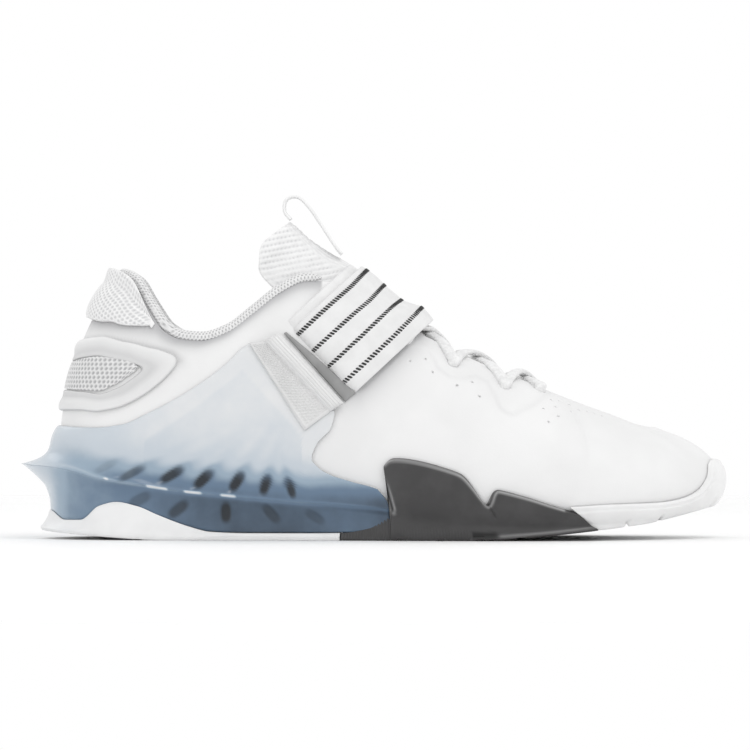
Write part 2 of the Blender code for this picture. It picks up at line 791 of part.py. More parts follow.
def make_outsole_heel(finish):
    gap = -0.3 * MM

    def inner(row, side):
        at = row(0)
        edge, ledge, half, middle = ledge_points(at, way_of(at), side, gap)
        return [blend(edge, ledge, 0.05), blend(edge, ledge, 0.12), ledge, middle]

    def outer(row, side):
        at = row(0)
        way = side * way_of(at)
        foot = float(wedge("foot_height", at)) * HEEL_LIFT + gap
        out = float(wedge("foot", at)) * WEDGE_FLARE
        base = float(wedge("base", at)) * WEDGE_FLARE
        low = ground(at)
        middle = spoke(at, ground(np.clip(at, 0.10, 1)))
        top = shell_point(way, foot - 0.2 * MM, out + 0.3 * MM)
        return [
            top,
            shell_point(way, min(low + 1.4 * MM, blend(low, foot, 0.6)), base),
            shell_point(way, low, base - 1.0 * MM),
            middle,
        ]

    end = way_of(HEEL_OUTSOLE_END)
    rows = [plain_row(w) for w in [0.0, *ways_between(0, end), end]]
    obj = slab(
        "outsole_heel", whole(rows, inner), whole(rows, outer), finish, False, True, mirrored=True
    )
    for at in (0.115, 0.200, 0.285, 0.370):
        x = along(at)
        groove = box(
            (x, -0.08, -1 * MM), (x + GROOVE_WIDTH, 0.08, ground(at) + GROOVE_DEPTH), finish
        )
        boolean(obj, groove, "DIFFERENCE")
    return obj


# The top edge of the forefoot's side flange: shares of the length and of FLANGE_HEIGHT.
FLANGE_COLUMNS = ("at", "height", "out")
FLANGE = (
    (0.490, 1.290, 1.05),
    (0.507, 1.300, 1.10),
    (0.532, 1.265, 1.15),
    (0.577, 1.165, 1.15),
    (0.602, 1.080, 1.10),
    (0.615, 0.985, 1.05),
    (0.632, 0.770, 1.00),
    (0.647, 0.575, 0.95),
    (0.656, 0.700, 1.05),
    (0.664, 0.830, 1.10),
    (0.685, 0.785, 1.10),
    (0.716, 0.690, 1.05),
    (0.750, 0.575, 1.00),
    (0.780, 0.535, 1.00),
    (0.830, 0.520, 1.00),
)
TOE_RAND_COLUMNS = ("at", "height", "out")
TOE_RAND = (
    (0.760, 1.150, 0.75),
    (0.830, 1.230, 0.85),
    (0.905, 1.280, 1.00),
    (0.940, 1.400, 1.05),
    (0.962, 1.640, 1.05),
    (0.975, 2.050, 1.00),
    (0.986, 2.560, 0.95),
    (1.000, 2.720, 0.95),
)
TOE_JOINT = 0.823
TOE_JOINT_LEAN = 0.050


def toe_joint(z):
    """The slanted joint between the dark forefoot and the toe's rand."""
    return TOE_JOINT - TOE_JOINT_LEAN * float(np.clip((z - 4 * MM) / (10 * MM), 0, 1))


def lip_inner(row, side, top_of, steps):
    """From the top of a lip down the skin to the feather line, then to the centre line."""
    at = row(14 * MM)
    top = top_of(at)
    at = row(top)
    top = top_of(at)
    bottom = floor_height(row(8 * MM))
    top = max(top, bottom + 1.5 * MM)
    points = []
    for share in np.linspace(0, 1, steps):
        z = blend(top, bottom, share)
        points.append(shell_point(side * way_of(row(z)), z, LIP_GAP))
    at = row(bottom)
    middle = spoke(at, floor_height(np.clip(at, 0, 0.89)))
    return points + [blend(points[-1], middle, 0.5), middle], top


def make_outsole_forefoot(tree, finish):
    flange_rows = [[row[0], row[1], row[2]] for row in FLANGE]

    def top_of(at):
        return float(np.interp(at, [r[0] for r in flange_rows], [r[1] for r in flange_rows])) * FLANGE_HEIGHT

    def out_of(at):
        return float(np.interp(at, [r[0] for r in flange_rows], [r[2] for r in flange_rows])) * FLANGE_WALL

    def inner(row, side):
        plate, row = row
        if not plate:
            return lip_inner(row, side, top_of, 6)[0]
        at = row(0)
        edge, ledge, half, middle = ledge_points(at, way_of(at), side, -0.3 * MM)
        return [blend(edge, ledge, s) for s in (0.02, 0.05, 0.08, 0.11, 0.2, 1.0)] + [half, middle]

    def outer(row, side):
        plate, row = row
        if plate:
            at = row(0)
            way = side * way_of(at)
            foot = float(wedge("foot_height", at)) * HEEL_LIFT - 0.45 * MM
            out = float(wedge("foot", at)) * WEDGE_FLARE
            base = float(wedge("base", at)) * WEDGE_FLARE
            low = ground(at)
            side_points = [
                shell_point(way, blend(foot, low + 1.2 * MM, s), blend(out + 0.2 * MM, base, s))
                for s in (0, 0.25, 0.5, 0.75, 1.0)
            ]
            return side_points + [shell_point(way, low, base - 1 * MM), None, spoke(at, low)]
        top = lip_inner(row, side, top_of, 6)[1]
        at = row(top)
        wall = out_of(at)
        low = ground(row(0))
        points = [shell_point(side * way_of(at), top, GAP + 0.6 * wall)]
        for share in (0.12, 0.45, 0.75):
            z = blend(top, low + 1.6 * MM, share)
            out = GAP + wall * (1 + 0.45 * share)
            points.append(shell_point(side * way_of(row(z)), z, out))
        z = low + 1.6 * MM
        points.append(shell_point(side * way_of(row(z)), z, GAP + 1.35 * wall))
        at = row(low)
        points.append(shell_point(side * way_of(at), low, GAP + 1.0 * wall))
        return points + [None, spoke(at, low)]

    def fill(make):
        def filled(row, side):
            points = make(row, side)
            for i, point in enumerate(points):
                if point is None:
                    points[i] = blend(points[i - 1], points[i + 1], 0.5)
            return points
        return filled

    start = way_of(HEEL_OUTSOLE_END + 0.0015)
    rows = [(True, plain_row(start))]
    rows += [(True, plain_row(w)) for w in ways_between(start, way_of(0.490), 0.006)]
    rows += [(True, plain_row(way_of(0.490))), (True, plain_row(way_of(0.5065)))]
    rows += [(False, flange_back)]
    ways = set(ways_between(way_of(WEDGE_FRONT), way_of(toe_joint(20 * MM)), 0.006))
    ways |= {float(way_of(at)) for at in (0.647, 0.664)}
    rows += [(False, plain_row(w)) for w in sorted(ways)]
    rows += [(False, lambda z: toe_joint(z) - 0.0008)]
    faces = seated(whole(rows, fill(inner)), whole(rows, fill(outer)), tree, side_points=6)
    obj = slab("outsole_forefoot", *faces, finish, mirrored=True)
    for at in (0.520, 0.580, 0.640, 0.700):
        x = along(at)
        groove = box(
            (x, -0.08, -1 * MM), (x + GROOVE_WIDTH, 0.08, ground(at) + GROOVE_DEPTH), finish
        )
        boolean(obj, groove, "DIFFERENCE")
    return obj


def make_outsole_toe(tree, finish):
    def top_of(at):
        return float(smooth(at, [r[0] for r in TOE_RAND], [r[1] for r in TOE_RAND])) * TOE_RAND_HEIGHT

    def inner(row, side):
        return lip_inner(row, side, top_of, 6)[0]

    def outer(row, side):
        top = lip_inner(row, side, top_of, 6)[1]
        at = row(top)
        wall = float(np.interp(at, [r[0] for r in TOE_RAND], [r[2] for r in TOE_RAND])) * TOE_RAND_WALL
        low = ground(row(0))
        edge = low + 2.2 * MM * float(np.clip((row(0) - 0.9) / 0.1, 0, 1))
        points = [shell_point(side * way_of(at), top, GAP + 0.55 * wall)]
        for share in (0.14, 0.45, 0.8, 1.0):
            z = blend(top, edge + 1.2 * MM, share)
            points.append(shell_point(side * way_of(row(z)), z, GAP + wall * (1 - 0.12 * share**3)))
        at = row(low)
        points.append(shell_point(side * way_of(at), edge, GAP + 0.45 * wall))
        middle = spoke(at, ground(np.clip(at, 0, 0.89)))
        return points + [blend(points[-1], middle, 0.5), middle]

    ways = ways_between(way_of(TOE_JOINT), 1, 0.006) + [1.0]
    ways += [(a + b) / 2 for a, b in zip(ways[-4:-1], ways[-3:])]
    rows = [lambda z: toe_joint(z) + 0.0008] + [plain_row(w) for w in sorted(ways)]
    faces = seated(whole(rows, inner), whole(rows, outer), tree, side_points=6)
    obj = slab("outsole_toe", *faces, finish, True, False, mirrored=True)
    for at in (0.865, 0.915):
        x = along(at)
        groove = box(
            (x, -0.08, -1 * MM), (x + GROOVE_WIDTH, 0.08, ground(at) + 0.8 * GROOVE_DEPTH), finish
        )
        boolean(obj, groove, "DIFFERENCE")
    return obj


# The tongue's free top: places of its middle and of its wings seen from the side, as shares of the
# length and of COLLAR_HEIGHT, and its half width as a share of BALL_WIDTH.
TONGUE_TOP_COLUMNS = ("middle_at", "middle_height", "wing_at", "wing_height", "half_width")
TONGUE_TOP = (
    (0.3480, 1.1700, 0.3240, 1.1250, 0.130),
    (0.3545, 1.1600, 0.3070, 1.0850, 0.170),
    (0.3640, 1.1400, 0.3035, 1.0250, 0.182),
    (0.3790, 1.1060, 0.3120, 0.9550, 0.176),
)

# The rest of it, inside the throat: how far down the skin its wings reach, its inset, and how far
# forward and up its middle stands from the throat's edges, as shares of TONGUE_RISE.
TONGUE_COLUMNS = ("at", "wing", "inset", "forward", "up")
TONGUE = (
    (0.365, 0.84, 1.00, 0.48, 0.90),
    (0.420, 0.86, 0.60, 0.30, 0.70),
    (0.480, 0.88, 0.35, 0.24, 0.66),
    (0.550, 0.89, 0.30, 0.11, 0.32),
    (0.620, 0.88, 0.25, 0.05, 0.22),
    (0.690, 0.87, 0.25, 0.03, 0.14),
    (0.745, 0.87, 0.30, 0.00, 0.04),
    (0.785, 0.88, 0.50, 0.00, -0.06),
    (0.825, 0.90, 0.60, 0.00, -0.04),
)
TONGUE_SHARES = (1.0, 0.84, 0.66, 0.44, 0.22)


def throat_middle(at):
    """Where the middle of the collar and throat lies across the shoe."""
    return float(section("centre", at) + topline("shift", at)) * BALL_WIDTH


def tongue_rows():
    """The tongue's outer face, row by row from its top, lateral edge to medial edge."""
    rows = []
    for middle_at, middle_height, wing_at, wing_height, half_width in TONGUE_TOP:
        y = throat_middle(0.36)
        middle = np.array([along(middle_at), y, middle_height * COLLAR_HEIGHT])
        row = []
        for share in [-s for s in TONGUE_SHARES] + [0] + list(TONGUE_SHARES[::-1]):
            wing = np.array([along(wing_at), y, wing_height * COLLAR_HEIGHT])
            point = blend(middle, wing, abs(share) ** 2.0)
            point[1] = y + math.sin(share * math.pi / 2) * half_width * BALL_WIDTH
            row.append(point)
        rows.append(row)
    for at, wing, inset, forward, up in TONGUE:
        offset = -(UPPER_WALL + GAP + inset * 1.6 * MM)
        row = []
        edges = {}
        for side in (-1, 1):
            u = side * way_of(at)
            outer = [skin(u, blend(1.0, wing, s), offset) for s in (1.0, 0.5, 0.0)]
            edges[side] = outer
        if at > 0.76:
            low, high = edges[-1][0], edges[1][0]
            rise = (edges[-1][-1][2] + edges[1][-1][2] - low[2] - high[2]) / 2
            shares = np.array([0, 0.06, 0.13, 0.24, 0.37, 0.5, 0.63, 0.76, 0.87, 0.94, 1])
            bow = (1 - (2 * shares - 1) ** 2) * rise
            rows.append([blend(low, high, s) + np.array([0, 0, b]) for s, b in zip(shares, bow)])
            continue
        middle = (edges[-1][-1] + edges[1][-1]) / 2
        middle = middle + np.array([forward, 0, up]) * TONGUE_RISE
        arch = []
        for share in (-0.66, -0.33, 0, 0.33, 0.66):
            low = blend(edges[-1][-1], edges[1][-1], 0.5 + 0.5 * share)
            lift = middle - (edges[-1][-1] + edges[1][-1]) / 2
            arch.append(low + lift * (1 - share * share) ** 1.4)
        row = edges[-1] + arch + edges[1][::-1]
        rows.append(row)
    return np.array(rows)


def grid_normals(grid):
    """A normal at each point of a grid of points."""
    du = np.gradient(grid, axis=0)
    dv = np.gradient(grid, axis=1)
    n = np.cross(du, dv)
    return n / np.maximum(np.linalg.norm(n, axis=-1, keepdims=True), 1e-12)


def make_tongue(tree, finish):
    outer = tongue_rows()
    normals = grid_normals(outer)
    if normals[4, 6, 2] < 0:
        normals = -normals
    normals[0] = normals[1]
    rows, columns = outer.shape[:2]
    depth = np.full((rows, columns), TONGUE_THICKNESS)
    for i in range(rows):
        top_share = np.clip(1 - i / 5.0, 0, 1)
        across = np.sin(np.linspace(0, math.pi, columns)) ** 0.6
        depth[i] += TONGUE_PADDING * top_share * across
    depth[0] *= 0.45
    depth[1] *= 0.8
    depth[-1] *= 0.5
    depth[:, 0] *= 0.5
    depth[:, -1] *= 0.5
    inner = outer - normals * depth[..., None]
    outer, inner = seated(outer, inner, tree)
    return slab("tongue", inner, outer, finish)


def sweep(name, path, ups, width, thickness, finish, sides=8):
    """A flat lace or band swept along a path; ups gives its thickness direction at each point."""
    path, ups = np.asarray(path, float), np.asarray(ups, float)
    ways = np.gradient(path, axis=0)
    ways /= np.linalg.norm(ways, axis=1, keepdims=True)
    across = np.cross(ways, ups)
    across /= np.linalg.norm(across, axis=1, keepdims=True)
    up = np.cross(across, ways)
    turns = np.arange(sides) * 2 * math.pi / sides
    points = []
    for i in range(len(path)):
        for t in turns:
            c, s = math.cos(t), math.sin(t)
            c = math.copysign(abs(c) ** 0.6, c)
            s = math.copysign(abs(s) ** 0.6, s)
            points.append(path[i] + across[i] * c * width / 2 + up[i] * s * thickness / 2)
    faces = []
    for i in range(len(path) - 1):
        for j in range(sides):
            k = (j + 1) % sides
            faces.append([i * sides + j, i * sides + k, (i + 1) * sides + k, (i + 1) * sides + j])
    faces.append(list(range(sides))[::-1])
    faces.append([(len(path) - 1) * sides + j for j in range(sides)])
    return mesh_object(name, points, faces, finish)


def drop(tree, x, y, high=0.2):
    hit = tree.ray_cast(Vector((float(x), float(y), high)), Vector((0, 0, -1)))
    return hit[0].z if hit[0] is not None else None


def lace_path(tree, start, end, lift):
    """A lace from one hole to another, lying on what is under it."""
    (at_a, v_a, side_a), (at_b, v_b, side_b) = start, end
    u_a, u_b = side_a * way_of(at_a), side_b * way_of(at_b)
    half = LACE_THICKNESS / 2 + GAP
    a, b = skin(u_a, v_a, half + 0.2 * MM), skin(u_b, v_b, half + 0.2 * MM)
    shares = np.linspace(0, 1, 29)
    points = [a]
    for share in shares[1:-1]:
        x, y, _ = blend(a, b, share)
        points.append(np.array([x, y, drop(tree, x, y) + half + 0.3 * MM]))
    points.append(b)
    # The lace is taut: its line is the upper hull of what it lies on.
    flat = np.array([[np.hypot(*(p[:2] - a[:2])), p[2]] for p in points])
    hull = [0]
    for i in range(1, len(flat)):
        while len(hull) > 1:
            p, q, r = flat[hull[-2]], flat[hull[-1]], flat[i]
            if (q[0] - p[0]) * (r[1] - p[1]) - (q[1] - p[1]) * (r[0] - p[0]) >= 0:
                hull.pop()
            else:
                break
        hull.append(i)
    taut = np.interp(flat[:, 0], flat[hull, 0], flat[hull, 1])
    taut += lift * np.sin(math.pi * shares)
    few = np.interp(flat[:, 0], flat[::7, 0], taut[::7])
    taut += max(0.0, float((taut - few).max()))
    path = np.array([[p[0], p[1], z] for p, z in zip(points, taut)])[::7]
    ups = []
    for tangent in np.gradient(path, axis=0):
        tangent /= np.linalg.norm(tangent)
        ahead = np.array([0.45, 0, 0.9])
        up = ahead - tangent * np.dot(ahead, tangent)
        ups.append(up / np.linalg.norm(up))
    return path, ups


def make_laces(tree, finish):
    bars = [((*EYELETS[0], -1), (*EYELETS[0], 1), 0.0)]
    for low, high in zip(EYELETS[:-1], EYELETS[1:]):
        bars.append(((*low, -1), (*high, 1), 0.0))
        bars.append(((*low, 1), (*high, -1), 1.3 * MM))
    laces = None
    for start, end, lift in bars:
        path, ups = lace_path(tree, start, end, lift)
        bar = sweep("laces", path, ups, LACE_WIDTH, LACE_THICKNESS, finish, 6)
        if laces is None:
            laces = bar
        else:
            boolean(laces, bar, "UNION")
    for at, v in EYELETS:
        for side in (-1, 1):
            u = side * way_of(at)
            low, high = skin(u, v, -1.2 * MM), skin(u, v, GAP + LACE_THICKNESS * 0.6)
            boolean(laces, prism(low, high, LACE_PEG_RADIUS, 6, finish), "UNION")
    laces.name = "laces"
    return laces


def band_hits(tree, across, first, last):
    """Where a section of the foot is met in the plane at a place across the strap's width."""
    lengthwise = np.array([STRAP_RUN[0], 0, STRAP_RUN[1]])
    sideways = np.array([STRAP_RUN[1], 0, -STRAP_RUN[0]])
    origin = np.array([along(STRAP_PLACE[0]), 0, STRAP_PLACE[1] * COLLAR_HEIGHT]) + sideways * across
    centre = origin + lengthwise * STRAP_CENTRE + np.array([0, throat_middle(0.45), 0])
    hits = []
    for angle in np.radians(np.linspace(first, last, 121)):
        way = lengthwise * math.cos(angle) + np.array([0, 1, 0]) * math.sin(angle)
        hit = tree.ray_cast(Vector(centre + way * 0.12), Vector(-way))
        if hit[0] is not None:
            p = np.array(hit[0]) - centre
            hits.append([p[1], float(np.dot(p, lengthwise))])
    return centre, lengthwise, np.array(hits)


def upper_hull(points):
    hull = []
    for p in points:
        while len(hull) > 1:
            a, b = hull[-2], hull[-1]
            if (b[0] - a[0]) * (p[1] - a[1]) - (b[1] - a[1]) * (p[0] - a[0]) >= 0:
                hull.pop()
            else:
                break
        hull.append(p)
    return np.array(hull)


def hull_band(tree, across, reach, first, last, count=17):
    """The taut line of a band over what is under it, within a reach to each side."""
    centre, lengthwise, points = band_hits(tree, across, first, last)
    span = points[:, 0].min(), points[:, 0].max()
    more = [band_hits(tree, across + side * reach, first, last)[2] for side in (-1, -0.5, 0.5, 1)]
    points = np.concatenate([points] + [m[(m[:, 0] > span[0]) & (m[:, 0] < span[1])] for m in more])
    hull = upper_hull(points[np.argsort(points[:, 0], kind="stable")])
    step = np.concatenate([[0], np.cumsum(np.linalg.norm(np.diff(hull, axis=0), axis=1))])
    fine = np.linspace(0, step[-1], 241)
    line = np.stack([np.interp(fine, step, hull[:, i]) for i in range(2)], 1)
    # Averaging takes the corners off; what it cuts into is given back as extra clearance.
    taut = line.copy()
    for _ in range(60):
        line[1:-1] = (line[:-2] + 2 * line[1:-1] + line[2:]) / 4
    take = np.linspace(0, 240, count).round().astype(int)
    tangent = np.gradient(line, axis=0)
    normal = np.stack([-tangent[:, 1], tangent[:, 0]], 1)
    normal /= np.linalg.norm(normal, axis=1, keepdims=True)
    chord = np.stack([np.interp(np.arange(241), take, line[take, i]) for i in range(2)], 1)
    cut = np.maximum(((taut - chord) * normal).sum(axis=1), 0)
    cut = np.array([cut[max(0, i - 14):i + 15].max() for i in range(len(cut))])
    line, normal = (line + normal * cut[:, None])[take], normal[take]
    place = centre + np.outer(line[:, 0], (0, 1, 0)) + np.outer(line[:, 1], lengthwise)
    out = np.outer(normal[:, 0], (0, 1, 0)) + np.outer(normal[:, 1], lengthwise)
    return place, out


def make_band(name, tree, low, high, base, thickness, first, last, finish, columns=6):
    reach = (high - low) / (columns - 1) / 2
    inner = []
    outer = []
    for j, across in enumerate(np.linspace(low, high, columns)):
        place, out = hull_band(tree, across, reach, first, last)
        edge = 0.3 * MM if j in (0, columns - 1) else 0.0
        inner.append(place + out * base)
        outer.append(place + out * (base + thickness - edge))
    inner = np.array(inner).transpose(1, 0, 2)
    outer = np.array(outer).transpose(1, 0, 2)
    return slab(name, *seated(inner, outer, tree, 2 * GAP), finish)


# The strap seen from the side: the middle of its outer end by the keeper, its run, and the point
# its section is seen from.
STRAP_PLACE = (0.3900, 0.6300)
STRAP_RUN = (0.7317, 0.6817)
STRAP_CENTRE = 2.0 * MM


# The keeper's corners seen from the side, as shares of the length and of COLLAR_HEIGHT: the far
# edge of its base, the base's edge by the bar, and the bar's edge by the slot.
KEEPER_COLUMNS = ("at", "height")
KEEPER_TOP = ((0.2900, 0.7160), (0.3140, 0.7230), (0.3370, 0.7500))
KEEPER_BOTTOM = ((0.3730, 0.4000), (0.4130, 0.4700), (0.4320, 0.4980))
# Height of the keeper's section: share of the way across, share of KEEPER_BAR_THICKNESS.
KEEPER_SECTION = (
    (0.00, 0.12),
    (0.04, 0.40),
    (0.28, 0.40),
    (0.52, 0.40),
    (0.56, 0.80),
    (0.66, 1.20),
    (0.80, 1.30),
    (0.92, 1.10),
    (1.00, 0.55),
)


def make_keeper(tree, finish):
    """The keeper: a stitched base on the upper's outer side and the rolled bar over the strap's end."""
    base = GAP + WEDGE_LIP + GAP + 0.15 * MM
    rows = np.linspace(0, 1, 8)
    inner = []
    outer = []
    for r in rows:
        edge = 0.35 + 0.65 * min(1.0, 8 * min(r, 1 - r) + 0.0)
        inner_row = []
        outer_row = []
        for share, height in KEEPER_SECTION:
            seats = []
            for corners in (KEEPER_TOP, KEEPER_BOTTOM):
                if share <= 0.54:
                    a, b = np.array(corners[0]), np.array(corners[1])
                    seats.append(blend(a, b, share / 0.54))
                else:
                    a, b = np.array(corners[1]), np.array(corners[2])
                    seats.append(blend(a, b, (share - 0.54) / 0.46))
            at, level = blend(seats[0], seats[1], r)
            x, z = along(at), level * COLLAR_HEIGHT
            inner_row.append(skin_from_side(x, z, -1, base))
            outer_row.append(skin_from_side(x, z, -1, base + height * edge * KEEPER_BAR_THICKNESS))
        inner.append(inner_row)
        outer.append(outer_row)
    return slab("keeper", *seated(inner, outer, tree), finish)


# The pull loop seen from the side: shares of the length and of COLLAR_HEIGHT.
PULL_LOOP = (
    (0.3500, 1.1800),
    (0.3410, 1.2100),
    (0.3420, 1.2480),
    (0.3510, 1.2640),
    (0.3640, 1.2600),
    (0.3790, 1.2230),
    (0.3980, 1.1560),
    (0.4190, 1.0780),
    (0.4275, 1.0520),
)


def make_pull_loop(finish):
    y = throat_middle(0.36)
    path = np.array([(along(at), y, height * COLLAR_HEIGHT) for at, height in PULL_LOOP])
    fine = np.linspace(0, 1, 13)
    known = np.linspace(0, 1, len(path))
    path = np.stack([smooth(fine, known, path[:, i]) for i in range(3)], 1)
    tangent = np.gradient(path, axis=0)
    ups = [np.cross(t, (0, 1, 0)) for t in tangent]
    return sweep("pull_loop", path, ups, PULL_LOOP_WIDTH, PULL_LOOP_THICKNESS, finish, 6)


def make_collar_roll(finish):
    """The knitted roll along the collar's edge, from one end of the throat round the heel to the other."""
    end = float(way_of(COLLAR_ROLL_END))
    ways = [w for w in WAYS if w < end - 0.008] + [end]
    ring = [-w for w in ways[::-1]][:-1] + list(ways)
    points = []
    sides = 6
    for k, u in enumerate(ring):
        top = skin(u, 1.0, -UPPER_WALL / 2)
        up = skin(u, 1.0) - skin(u, 0.97)
        up /= np.linalg.norm(up)
        out = skin_normal(np.array(u), np.array(0.97))
        closeness = min(k, len(ring) - 1 - k)
        size = min(1.0, 0.45 + 0.35 * closeness)
        height, width = COLLAR_BEAD * size, COLLAR_BEAD * 0.95 * size
        centre = top + up * (GAP + height / 2)
        for t in np.arange(sides) * 2 * math.pi / sides:
            points.append(centre + out * math.cos(t) * width / 2 + up * math.sin(t) * height / 2)
    faces = []
    rings = len(ring)
    for i in range(rings - 1):
        for j in range(sides):
            k = (j + 1) % sides
            faces.append([i * sides + j, i * sides + k, (i + 1) * sides + k, (i + 1) * sides + j])
    faces.append(list(range(sides))[::-1])
    faces.append([(rings - 1) * sides + j for j in range(sides)])
    return mesh_object("collar_roll", points, faces, finish)


COLLAR_ROLL_END = 0.380
OVERLAY_GAP = GAP + 0.2 * MM

# The lower edge of the padded heel tab, and the counter's frame and window, seen from the side as
# shares of the length and of COLLAR_HEIGHT.
HEEL_PAD_EDGE = (
    (0.030, 0.808),
    (0.076, 0.792),
    (0.120, 0.785),
    (0.150, 0.775),
    (0.166, 0.755),
)
COUNTER_OUTER_TOP = ((0.026, 0.728), (0.058, 0.738), (0.121, 0.723), (0.175, 0.700))
COUNTER_OUTER_BOTTOM = ((0.006, 0.474), (0.076, 0.474), (0.106, 0.497), (0.137, 0.537), (0.165, 0.595))
COUNTER_INNER_TOP = ((0.020, 0.648), (0.058, 0.671), (0.099, 0.660), (0.126, 0.648))
COUNTER_INNER_BOTTOM = ((0.012, 0.549), (0.053, 0.537), (0.076, 0.545), (0.106, 0.575), (0.128, 0.615))
COUNTER_OUTER_TIP = 0.184
COUNTER_INNER_TIP = 0.1335


def v_curve(rows, u):
    """Share up the skin of an edge seen from the side, at a way round."""
    places = [u_v_of(along(at), height * COLLAR_HEIGHT) for at, height in rows]
    return float(np.interp(abs(u), [p[0] for p in places], [p[1] for p in places]))


def make_heel_pad(tree, finish):
    """The padded tab round the top of the heel."""
    places = [u_v_of(along(at), height * COLLAR_HEIGHT) for at, height in HEEL_PAD_EDGE]
    end = places[-1][0]
    ways = [w for w in WAYS if w < end - 0.006] + [end]
    ring = [-w for w in ways[:0:-1]] + list(ways)
    shares = np.array([0, 0.10, 0.45, 0.9, 1.0])
    bulge = np.array([0.25, 0.92, 1.0, 0.8, 0.42])
    inner = []
    outer = []
    for u in ring:
        low = float(np.interp(abs(u), [p[0] for p in places], [min(p[1], 0.9) for p in places]))
        high = 0.985
        closeness = 1 - (abs(u) / end) ** 2
        v = blend(low, high, shares)
        inner.append(skin(np.full(len(v), u), v, OVERLAY_GAP))
        thickness = HEEL_PAD_WALL * (0.3 + 0.7 * closeness) * bulge
        outer.append(skin(np.full(len(v), u), v, OVERLAY_GAP + thickness))
    return slab("heel_pad", *seated(inner, outer, tree), finish)


def make_counter(tree, frame_finish, mesh_finish):
    """The moulded frame round the heel counter and the mesh in its window."""
    middle = 0.610
    outer_tip = u_v_of(along(COUNTER_OUTER_TIP), 0.655 * COLLAR_HEIGHT)
    inner_tip = u_v_of(along(COUNTER_INNER_TIP), 0.633 * COLLAR_HEIGHT)
    steps = 7
    stations = []
    shares = np.linspace(0, 1, steps)
    for s in shares:
        uo, ui = outer_tip[0] * s, inner_tip[0] * s
        stations.append((uo, v_curve(COUNTER_OUTER_TOP, uo), ui, v_curve(COUNTER_INNER_TOP, ui)))
    stations[-1] = (*outer_tip, *inner_tip)
    for s in shares[::-1][1:]:
        uo, ui = outer_tip[0] * s, inner_tip[0] * s
        stations.append((uo, v_curve(COUNTER_OUTER_BOTTOM, uo), ui, v_curve(COUNTER_INNER_BOTTOM, ui)))
    loop = [(-uo, vo, -ui, vi) for uo, vo, ui, vi in stations]
    loop += [(uo, vo, ui, vi) for uo, vo, ui, vi in stations[::-1][1:-1]]
    across = np.array([0, 0.15, 0.5, 0.85, 1.0])
    rise = np.array([0.35, 0.8, 1.0, 0.75, 0.3])
    inner = []
    outer = []
    for uo, vo, ui, vi in loop:
        u = blend(uo, ui, across)
        v = blend(vo, vi, across)
        inner.append(skin(u, v, OVERLAY_GAP))
        outer.append(skin(u, v, OVERLAY_GAP + rise * FRAME_RISE))
    faces = seated(inner, outer, tree, closed=True)
    slab("counter_frame", *faces, frame_finish, closed=True)
    inner = []
    outer = []
    tip = inner_tip[0] * 0.955
    for s in np.linspace(-1, 1, 13):
        u = s * tip
        grow = 1 / 0.955
        top = v_curve(COUNTER_INNER_TOP, u * grow)
        bottom = v_curve(COUNTER_INNER_BOTTOM, u * grow)
        inset = 0.008
        close = abs(s) ** 6
        middle = (top + bottom) / 2
        top = blend(top - inset, middle + 0.008, close)
        bottom = blend(bottom + inset, middle - 0.008, close)
        v = np.linspace(bottom, top, 4)
        inner.append(skin(np.full(4, u), v, OVERLAY_GAP))
        outer.append(skin(np.full(4, u), v, OVERLAY_GAP + MESH_RISE))
    slab("counter_mesh", *seated(inner, outer, tree), mesh_finish)


def build():
    for obj in list(bpy.data.objects):
        bpy.data.objects.remove(obj)
    leather = material("white_synthetic", (0.86, 0.86, 0.87), 0.5)
    mesh = material("white_mesh", (0.80, 0.81, 0.82), 0.8)
    wedge_plastic = material("ice_blue_translucent", (0.50, 0.62, 0.70), 0.2, 1.0, 0.6)
    white_rubber = material("white_rubber", (0.84, 0.84, 0.85), 0.45)
    dark_rubber = material("dark_grey_rubber", (0.05, 0.05, 0.055), 0.6)
    foam = material("insole_textile", (0.70, 0.71, 0.72), 0.9)
    webbing = material("white_webbing", (0.85, 0.85, 0.85), 0.7)
    cord = material("white_lace", (0.86, 0.86, 0.86), 0.8)
    upper = make_upper(leather)
    skin_tree = tree_of([upper])
    make_insole(foam)
    heel_wedge = make_heel_wedge(skin_tree, wedge_plastic)
    make_outsole_heel(white_rubber)
    make_outsole_forefoot(skin_tree, dark_rubber)
    make_outsole_toe(skin_tree, white_rubber)
    roll = make_collar_roll(mesh)
    tongue = make_tongue(tree_of([upper, roll]), mesh)
    laces = make_laces(tree_of([upper, tongue]), cord)
    half = STRAP_WIDTH / 2
    lining = make_band(
        "strap_lining", tree_of([upper, tongue, laces]), -half - STRAP_LINING_MARGIN, half - 2 * MM,
        GAP, STRAP_LINING_THICKNESS, -92, 96, webbing,
    )
    make_band(
        "strap", tree_of([upper, tongue, laces, lining]), -half, half, GAP, STRAP_THICKNESS, -90, 98,
        webbing,
    )
    make_keeper(tree_of([upper, heel_wedge]), white_rubber)
    make_pull_loop(webbing)
    make_heel_pad(skin_tree, mesh)
    make_counter(skin_tree, leather, mesh)


build()
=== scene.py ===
"""The looks of a right weightlifting shoe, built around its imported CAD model.

The toe points along +X, the outer (lateral) side faces -Y and the floor is Z = 0. Lengths are metres;
places seen from the side are in millimetres, as (x, z).
"""

import math

import bmesh
import bpy
import numpy as np
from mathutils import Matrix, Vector
from mathutils.bvhtree import BVHTree


